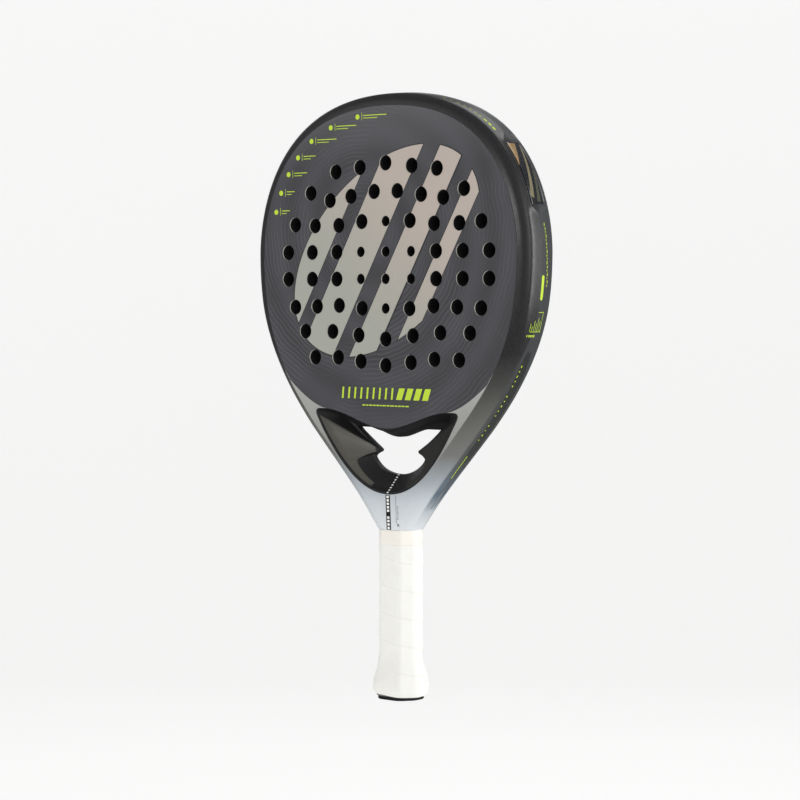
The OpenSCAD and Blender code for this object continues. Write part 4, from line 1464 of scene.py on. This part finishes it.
def buildButtCap():
    # a shallow dished end with a chamfered cord hole, and the skirt up inside the grip
    bare = -grip["overgrip"] - grip["baseGrip"]
    edge = bare + grip["flare"] * 0.6 + 0.8
    base = gripLoop(edge - 1.2)
    angles = np.arctan2(base[:, 1], base[:, 0])

    def circle(radius):
        return np.array([[radius * math.cos(a), radius * math.sin(a)] for a in angles])

    hole = cap["hole"]
    low, high = cap["edgeHigh"], cap["skirtHigh"]
    rows = [(circle(hole), cap["holeDeep"]), (circle(hole), 1.2), (circle(hole + 0.25), 0.8)]
    rows += [(circle(hole + 0.9), 0.55)]
    rows += [(mix(circle(6), base * 0.8, 0.4), 0.5), (base * 0.86, 0.45), (base * 0.94, 0.12)]
    rows += [(gripLoop(edge - 1.2), 0.0), (gripLoop(edge - 0.55), 0.1), (gripLoop(edge - 0.15), 0.42)]
    rows += [(gripLoop(edge), 1.0), (gripLoop(edge), low)]
    rows += [(gripLoop(bare + flareAt(z)), z) for z in (*np.arange(low, high, 3.0), high)]
    rows += [(gripLoop(bare), high), (gripLoop(bare), cap["holeDeep"])]
    verts = [[p[0], p[1], z] for loop, z in rows for p in loop]
    mesh = toMesh("buttCap", verts, ringFaces(len(rows), len(base)))
    turnOut(mesh)
    piece = toObject("buttCap", mesh)
    shade(piece, 40)
    mesh.materials.append(finishes["capPlastic"])
    settle(piece, "butt_cap")


buildButtCap()
print("handle built")


# printed marks: each is position, facing, upward, width, height and whether it is round
def marksPiece(name, marks, ink, lean=0.0):
    mesh = bpy.data.meshes.new(name)
    mesh.from_pydata([tuple(c * mm for c in m["at"]) for m in marks], [], [])
    giveAttribute(mesh, "facing", [m["facing"] for m in marks], "FLOAT_VECTOR")
    giveAttribute(mesh, "upward", [m["upward"] for m in marks], "FLOAT_VECTOR")
    giveAttribute(mesh, "size", [(m["wide"] * mm, m["high"] * mm, 1) for m in marks], "FLOAT_VECTOR")
    giveAttribute(mesh, "round", [m.get("round", 0) for m in marks])
    piece = toObject(name, mesh)
    bake(piece, trees["marks"], {"Lean": lean, "Film": 0.05 * mm, "Ink": finishes[ink]})
    shade(piece, 30)
    settle(piece, None)


def onFace(x, z, wide, high, disc=0, side=-1):
    return {"at": (-side * x, side * (halfThick + 0.01), z), "facing": (0, side, 0), "upward": (0, 0, 1),
            "wide": wide, "high": high, "round": disc}


# seven small signs near the rim, each a disc, a tick and two lines; the ruled line and the bars
signs = {
    "places": [(-26.5, 437), (-52.5, 430), (-71.5, 420.5), (-85, 408.5), (-94.5, 396), (-102, 382),
               (-107, 367.5)],
    "lengths": [22, 19, 19, 12, 13, 8, 8],
    "disc": 3.9,
    "tickOut": 4.2,
    "tick": (0.35, 5.6),
    "lineOut": 5.6,
    "ruledLow": (-22.0, 221.5),
    "ruled": (3, 2, 3.4, 2.4, 3, 1.6, 3.2, 2.6, 3.8, 2.2, 3, 2.6, 3.4),
    "ruledGap": 0.65,
    "barsLow": (-41.5, 230.5),
    "barHigh": 8.6,
    "bars": [(1.6, 4.3)] * 9 + [(5.4, 2.7)] * 4,
}


def faceMarks(side):
    marks = []
    for (x, z), length in zip(signs["places"], signs["lengths"]):
        start = x + signs["lineOut"]
        marks.append(onFace(x, z, signs["disc"], signs["disc"], 1, side))
        marks.append(onFace(x + signs["tickOut"], z + 0.2, *signs["tick"], 0, side))
        marks.append(onFace(start + length / 2, z + 0.9, length, 0.6, 0, side))
        marks.append(onFace(start + length * 0.3, z - 1.1, length * 0.6, 0.5, 0, side))
    # a finer ruled line under the row of bars
    x, z = signs["ruledLow"]
    for length in signs["ruled"]:
        marks.append(onFace(x + length / 2, z, length, 0.9, 0, side))
        x += length + signs["ruledGap"]
    return marks


def titleBars(side):
    # a plain row of leaning bars, fine ones first, then broad ones
    marks = []
    x, z = signs["barsLow"]
    for wide, gap in signs["bars"]:
        marks.append(onFace(x + wide / 2, z, wide, signs["barHigh"], 0, side))
        x += wide + gap
    return marks


for word, side in (("Front", -1), ("Back", 1)):
    marksPiece("faceMarks" + word, faceMarks(side), "limeInk")
    marksPiece("titleBars" + word, titleBars(side), "limeInk", lean=0.55)


def onWall(side, z, y, wide, high, disc=0, floor=False):
    place = floorPoint if floor else wallPoint
    lift = panels["filmThickness"] + 0.02 if floor else 0.03
    at = place(side, z, y, lift)
    up = place(side, z + 1, y, lift) - place(side, z - 1, y, lift)
    across = place(side, z, y + 0.6, lift) - place(side, z, y - 0.6, lift)
    facing = np.cross(across, up) * side
    return {"at": at, "facing": tuple(facing / np.linalg.norm(facing)),
            "upward": tuple(up / np.linalg.norm(up)), "wide": wide, "high": high, "round": disc}


# lengths and places of the side wall's marks
wallSigns = {
    "dottedLow": 310.0,
    "dottedHigh": 358.0,
    "dotted": (1.4, 2.2, 1.0, 2.4, 1.2, 1.8, 2.6, 1.0, 1.6, 2.4, 1.2, 2.0, 1.4, 2.6, 1.0, 1.8, 2.2),
    "pillLow": 301.6,
    "pillHigh": 316.8,
    "pillWide": 3,
    "boxLow": 277.5,
    "boxHigh": 291.5,
    "boxBars": ((-7.0, 6.0), (-5.0, 4.0), (-3.0, 8.0), (-1.0, 6.0), (1.0, 10.0), (3.2, 8.0), (5.6, 14.0)),
    "dotsZ": 274.4,
    "dots": (-8.6, -6.2, -4.4, -2.6, -0.8),
    "shoulderLow": 423.5,
    "shoulderHigh": 451.6,
    "shoulderY": -9.2,
    "shoulder": ((1.9, 3.2), (1.9, 3.2), (1.9, 3.0), (0.8, 2.6), (0.8, 2.4), (0.8, 2.6), (0.8, 2.0),
                 (0.8, 2.2), (0.8, 1.6), (1.7, 1.2)),
    "stripTop": 252.0,
    "stripY": -2.4,
    "strip": (2.2, 1.4, 2.4, 1.2, 1.8, 2.2, 1.4, 2.4, 1.6, 1.2, 2.0, 1.4, 2.2, 1.6),
    "lineLow": 169,
}


def wallMarks(side):
    marks = []
    # upright dotted rows on the wall near its middle
    low, high = wallSigns["dottedLow"], wallSigns["dottedHigh"]
    z = low
    for index, length in enumerate(wallSigns["dotted"]):
        y = mix(5.4, 2.2, (z - low) / (high - low)) + 0.5 * (index % 2)
        marks.append(onWall(side, z + length / 2, y, 0.9, length))
        z += length + 1.0
    # a lit pill below them, in short lengths that follow the wall
    wide = wallSigns["pillWide"]
    for i in range(9):
        marks.append(onWall(side, wallSigns["pillLow"] + 0.8 + i * 1.7, 0, wide, 1.8))
    for z in (wallSigns["pillLow"], wallSigns["pillHigh"]):
        marks.append(onWall(side, z, 0, wide, wide, 1))
    # an open box with bars of rising height, and a row of dots beneath
    boxLow, boxHigh = wallSigns["boxLow"], wallSigns["boxHigh"]
    for y, high in wallSigns["boxBars"]:
        for i in range(int(high / 2)):
            marks.append(onWall(side, boxLow + 1 + 2 * i, y, 0.42, 2.05))
    marks.append(onWall(side, boxLow, -0.7, 12.9, 0.4))
    marks.append(onWall(side, boxHigh, 2.4, 6.6, 0.4))
    for index, y in enumerate(wallSigns["dots"]):
        marks.append(onWall(side, wallSigns["dotsZ"], y, 1.1, 1.7, 1 if index == 0 else 0))
    # a broken line over the shoulder
    z = wallSigns["shoulderLow"]
    for wide, length in wallSigns["shoulder"]:
        at = min(wallSigns["shoulderHigh"], z + length * 0.35)
        marks.append(onWall(side, at, wallSigns["shoulderY"], wide, length))
        z += length * 0.74 + 0.9
    # small marks down the strip, and its thin line
    z = wallSigns["stripTop"]
    y = wallSigns["stripY"]
    for index, length in enumerate(wallSigns["strip"]):
        marks.append(onWall(side, z, y - 0.2 * (index % 3), 1.2, length * 0.7, 0, True))
        z -= 3.6 if index % 5 != 4 else 7.5
    for i in range(9):
        marks.append(onWall(side, wallSigns["lineLow"] + i * 1.9, y, 0.9, 2.0, 0, True))
    return marks


marksPiece("wallMarksRight", wallMarks(1), "limeInk")
marksPiece("wallMarksLeft", wallMarks(-1), "limeInk")
print("printed marks placed")

label = {
    "half": 2,
    "thickness": 0.2,
    "low": 128.5,
    "high": 154.5,
    "squares": [(2.1, 1.7), (1.7, 1.15)],
    "pitch": 2.6,
    "blank": 4,
}


def buildLabel():
    # black ribbon down the front of the neck, then over the rim and down into the insert
    path = [np.array([0, -halfDepth(z), z]) for z in np.linspace(label["low"], label["high"], 14)]
    rows = insertRows()
    inner = [np.array([0, -r[-1][1], r[-1][2]]) for r in rows[3:22]]
    inner = [p for p in inner if p[1] < -1.2]
    half = label["half"]
    made = []
    for name, points, node in (("neckLabel", path, "neck_label"), ("insertRibbon", inner, None)):
        verts = []
        for i, p in enumerate(points):
            way = points[min(i + 1, len(points) - 1)] - points[max(i - 1, 0)]
            out = np.array([0, -way[2], way[1]])
            out = out / np.linalg.norm(out)
            low = p + out * (0.0 if node else 0.02)
            high = p + out * label["thickness"] * (1 if node else 0.5)
            verts += [low + [-half, 0, 0], low + [half, 0, 0], high + [half, 0, 0], high + [-half, 0, 0]]
        faces = quads(len(points), 4, True)
        faces.append((0, 1, 2, 3))
        faces.append(tuple((len(points) - 1) * 4 + j for j in range(4)))
        mesh = toMesh(name, verts, faces)
        turnOut(mesh)
        piece = toObject(name, mesh)
        shade(piece, 30)
        mesh.materials.append(finishes["labelBlack"])
        settle(piece, node)
        made.append((points, label["thickness"] * (1 if node else 0.5)))
    # white squares at an even pitch along both lengths
    squares = []
    for (points, lift), (wide, high) in zip(made, label["squares"]):
        length = np.cumsum([0] + [np.linalg.norm(b - a) for a, b in zip(points[:-1], points[1:])])
        table = np.array(points)
        for index, s in enumerate(np.arange(label["pitch"] * 0.5, length[-1] - 0.6, label["pitch"])):
            if points is path and index == label["blank"]:
                continue
            here, ahead = [np.array([0, *(np.interp(at, length, table[:, axis]) for axis in (1, 2))])
                           for at in (s, s + 0.4)]
            way = (ahead - here) / max(1e-9, np.linalg.norm(ahead - here))
            out = np.array([0, -way[2], way[1]])
            squares.append({"at": here + out * (lift + 0.01), "facing": tuple(out), "upward": tuple(way),
                            "wide": wide, "high": high})
    marksPiece("labelSquares", squares, "labelWhite")


buildLabel()


def neckFront(x, z, wide, high):
    # a mark on the neck's front: on its flat, or on the round beside it
    section = np.array(rimSection(z))
    front = section[: len(section) // 2]
    point, normal = edgeNear(z)
    xs = point[0] - front[:, 0] * normal[0]
    y, turn = -halfDepth(z), 0
    if abs(x) > min(xs):
        order = np.argsort(xs)
        y, turn = float(np.interp(abs(x), xs[order], front[order, 1])), 0.12
    return {"at": (x, y - 0.03, z), "facing": (turn, -1, -0.06), "upward": (0, 0, 1),
            "wide": wide, "high": high}


# a thin upright line, a row of specks and a small sign beside the label
notes = [neckFront(7.4, 134.5 + 1.9 * i, 0.3, 1.9) for i in range(11)]
notes += [neckFront(9.0, 137 + 1.5 * i, 0.9 + 0.5 * (i % 3 == 0), 0.55) for i in range(7)]
notes += [neckFront(8.8, 131.8, 2.2, 0.6), neckFront(8.8, 132.8, 1.2, 0.9)]
marksPiece("neckNotes", notes, "greyInk")

# the parts inside keep their own shape and get their real material
insideFinishes = {
    "foam_core": "darkFoam",
    "bridge_tube": "laminate",
    "bridge_core": "darkFoam",
    "handle_tube": "laminate",
    "handle_core": "paleFoam",
    "base_grip": "cushion",
    "cap_tacks": "steel",
}
for node, finishName in insideFinishes.items():
    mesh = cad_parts[node].data
    mesh.materials.clear()
    mesh.materials.append(finishes[finishName])

# stage
studio = {
    "floorZ": -0.42,
    "sweep": 3.4,
    "curve": 1.6,
    "wallTop": 5.0,
    "cameraTurn": 38.034,
    "cameraRise": 2.592,
    "cameraFar": 1.8029,
    "lens": 107.94,
    "lookUp": 0.2251,
    "lookSide": -0.000785,
}


def buildSweep():
    # pale floor that curves up into its backdrop on every side
    rings = []
    ringSteps = 96
    curve = studio["curve"]
    profile = [(0.02, 0), (studio["sweep"], 0)]
    for i in range(1, 13):
        a = math.radians(7.5 * i)
        profile.append((studio["sweep"] + curve * math.sin(a), curve * (1 - math.cos(a))))
    profile += [(studio["sweep"] + curve, curve + 1), (studio["sweep"] + curve, studio["wallTop"])]
    for r, z in profile:
        for j in range(ringSteps):
            a = 2 * math.pi * j / ringSteps
            rings.append([r * math.cos(a) * 1000, r * math.sin(a) * 1000, (z + studio["floorZ"]) * 1000])
    faces = [tuple(reversed(f)) for f in quads(len(profile), ringSteps, True)]
    faces.append(tuple(range(ringSteps)))
    floor = toObject("sweep", toMesh("sweep", rings, faces))
    shade(floor)
    material, tree, shader, place = startMaterial("paleFloor", Roughness=0.9, Emission_Strength=0.65)
    shader.inputs["Emission Color"].default_value = (1.0, 1.0, 0.995, 1)
    tone = noise(tree, place, 0.6, 2)
    color = blendColor(tree, tone, grey(0.36), grey(0.38))
    finish(tree, shader, color)
    floor.data.materials.append(material)
    floor.visible_glossy = False


buildSweep()

world = bpy.data.worlds.new("studio")
world.use_nodes = True
bpy.context.scene.world = world
sky = world.node_tree
sky.nodes["Background"].inputs["Color"].default_value = (0.96, 0.98, 1.0, 1)
sky.nodes["Background"].inputs["Strength"].default_value = 0.12


def softbox(name, turn, rise, far, wide, high, power, warm=1.0):
    # an area lamp aimed at the middle of the racket, turn 0 in front, 90 to the right
    lamp = bpy.data.lights.new(name, "AREA")
    lamp.shape = "RECTANGLE"
    lamp.size = wide
    lamp.size_y = high
    lamp.energy = power
    lamp.color = (1.0, 0.5 + 0.5 * warm, warm)
    holder = bpy.data.objects.new(name, lamp)
    bpy.context.scene.collection.objects.link(holder)
    middle = Vector((0, 0, 0.24))
    a, e = math.radians(turn), math.radians(rise)
    way = Vector((math.sin(a) * math.cos(e), -math.cos(a) * math.cos(e), math.sin(e)))
    holder.location = middle + far * way
    holder.rotation_euler = (middle - holder.location).to_track_quat("-Z", "Y").to_euler()


softbox("keyBox", 74, 14, 2.6, 0.9, 1.7, 9)
softbox("faceBox", -40, 24, 2.6, 1.6, 1.6, 5)
softbox("facetBox", -1, 13, 2.6, 0.5, 0.4, 9, 0.96)
softbox("crownBox", 218, 16, 2.4, 2.2, 0.7, 4)
softbox("rimStrip", 121, 10, 2.2, 0.4, 1.8, 20)
softbox("topBox", 172, 60, 2.2, 1.8, 1.2, 14)


def placeCamera():
    turn = math.radians(studio["cameraTurn"])
    rise = math.radians(studio["cameraRise"])
    right = Vector((math.cos(turn), math.sin(turn), 0))
    target = right * studio["lookSide"] + Vector((0, 0, studio["lookUp"]))
    away = Vector((math.sin(turn) * math.cos(rise), -math.cos(turn) * math.cos(rise), math.sin(rise)))
    lens = bpy.data.cameras.new("view")
    lens.lens = studio["lens"]
    lens.sensor_width = 36
    lens.clip_end = 60
    camera = bpy.data.objects.new("view", lens)
    camera.location = target + away * studio["cameraFar"]
    camera.rotation_euler = (-away).to_track_quat("-Z", "Y").to_euler()
    bpy.context.scene.collection.objects.link(camera)
    bpy.context.scene.camera = camera


placeCamera()
bpy.context.scene.view_settings.view_transform = "Standard"
print("studio ready")
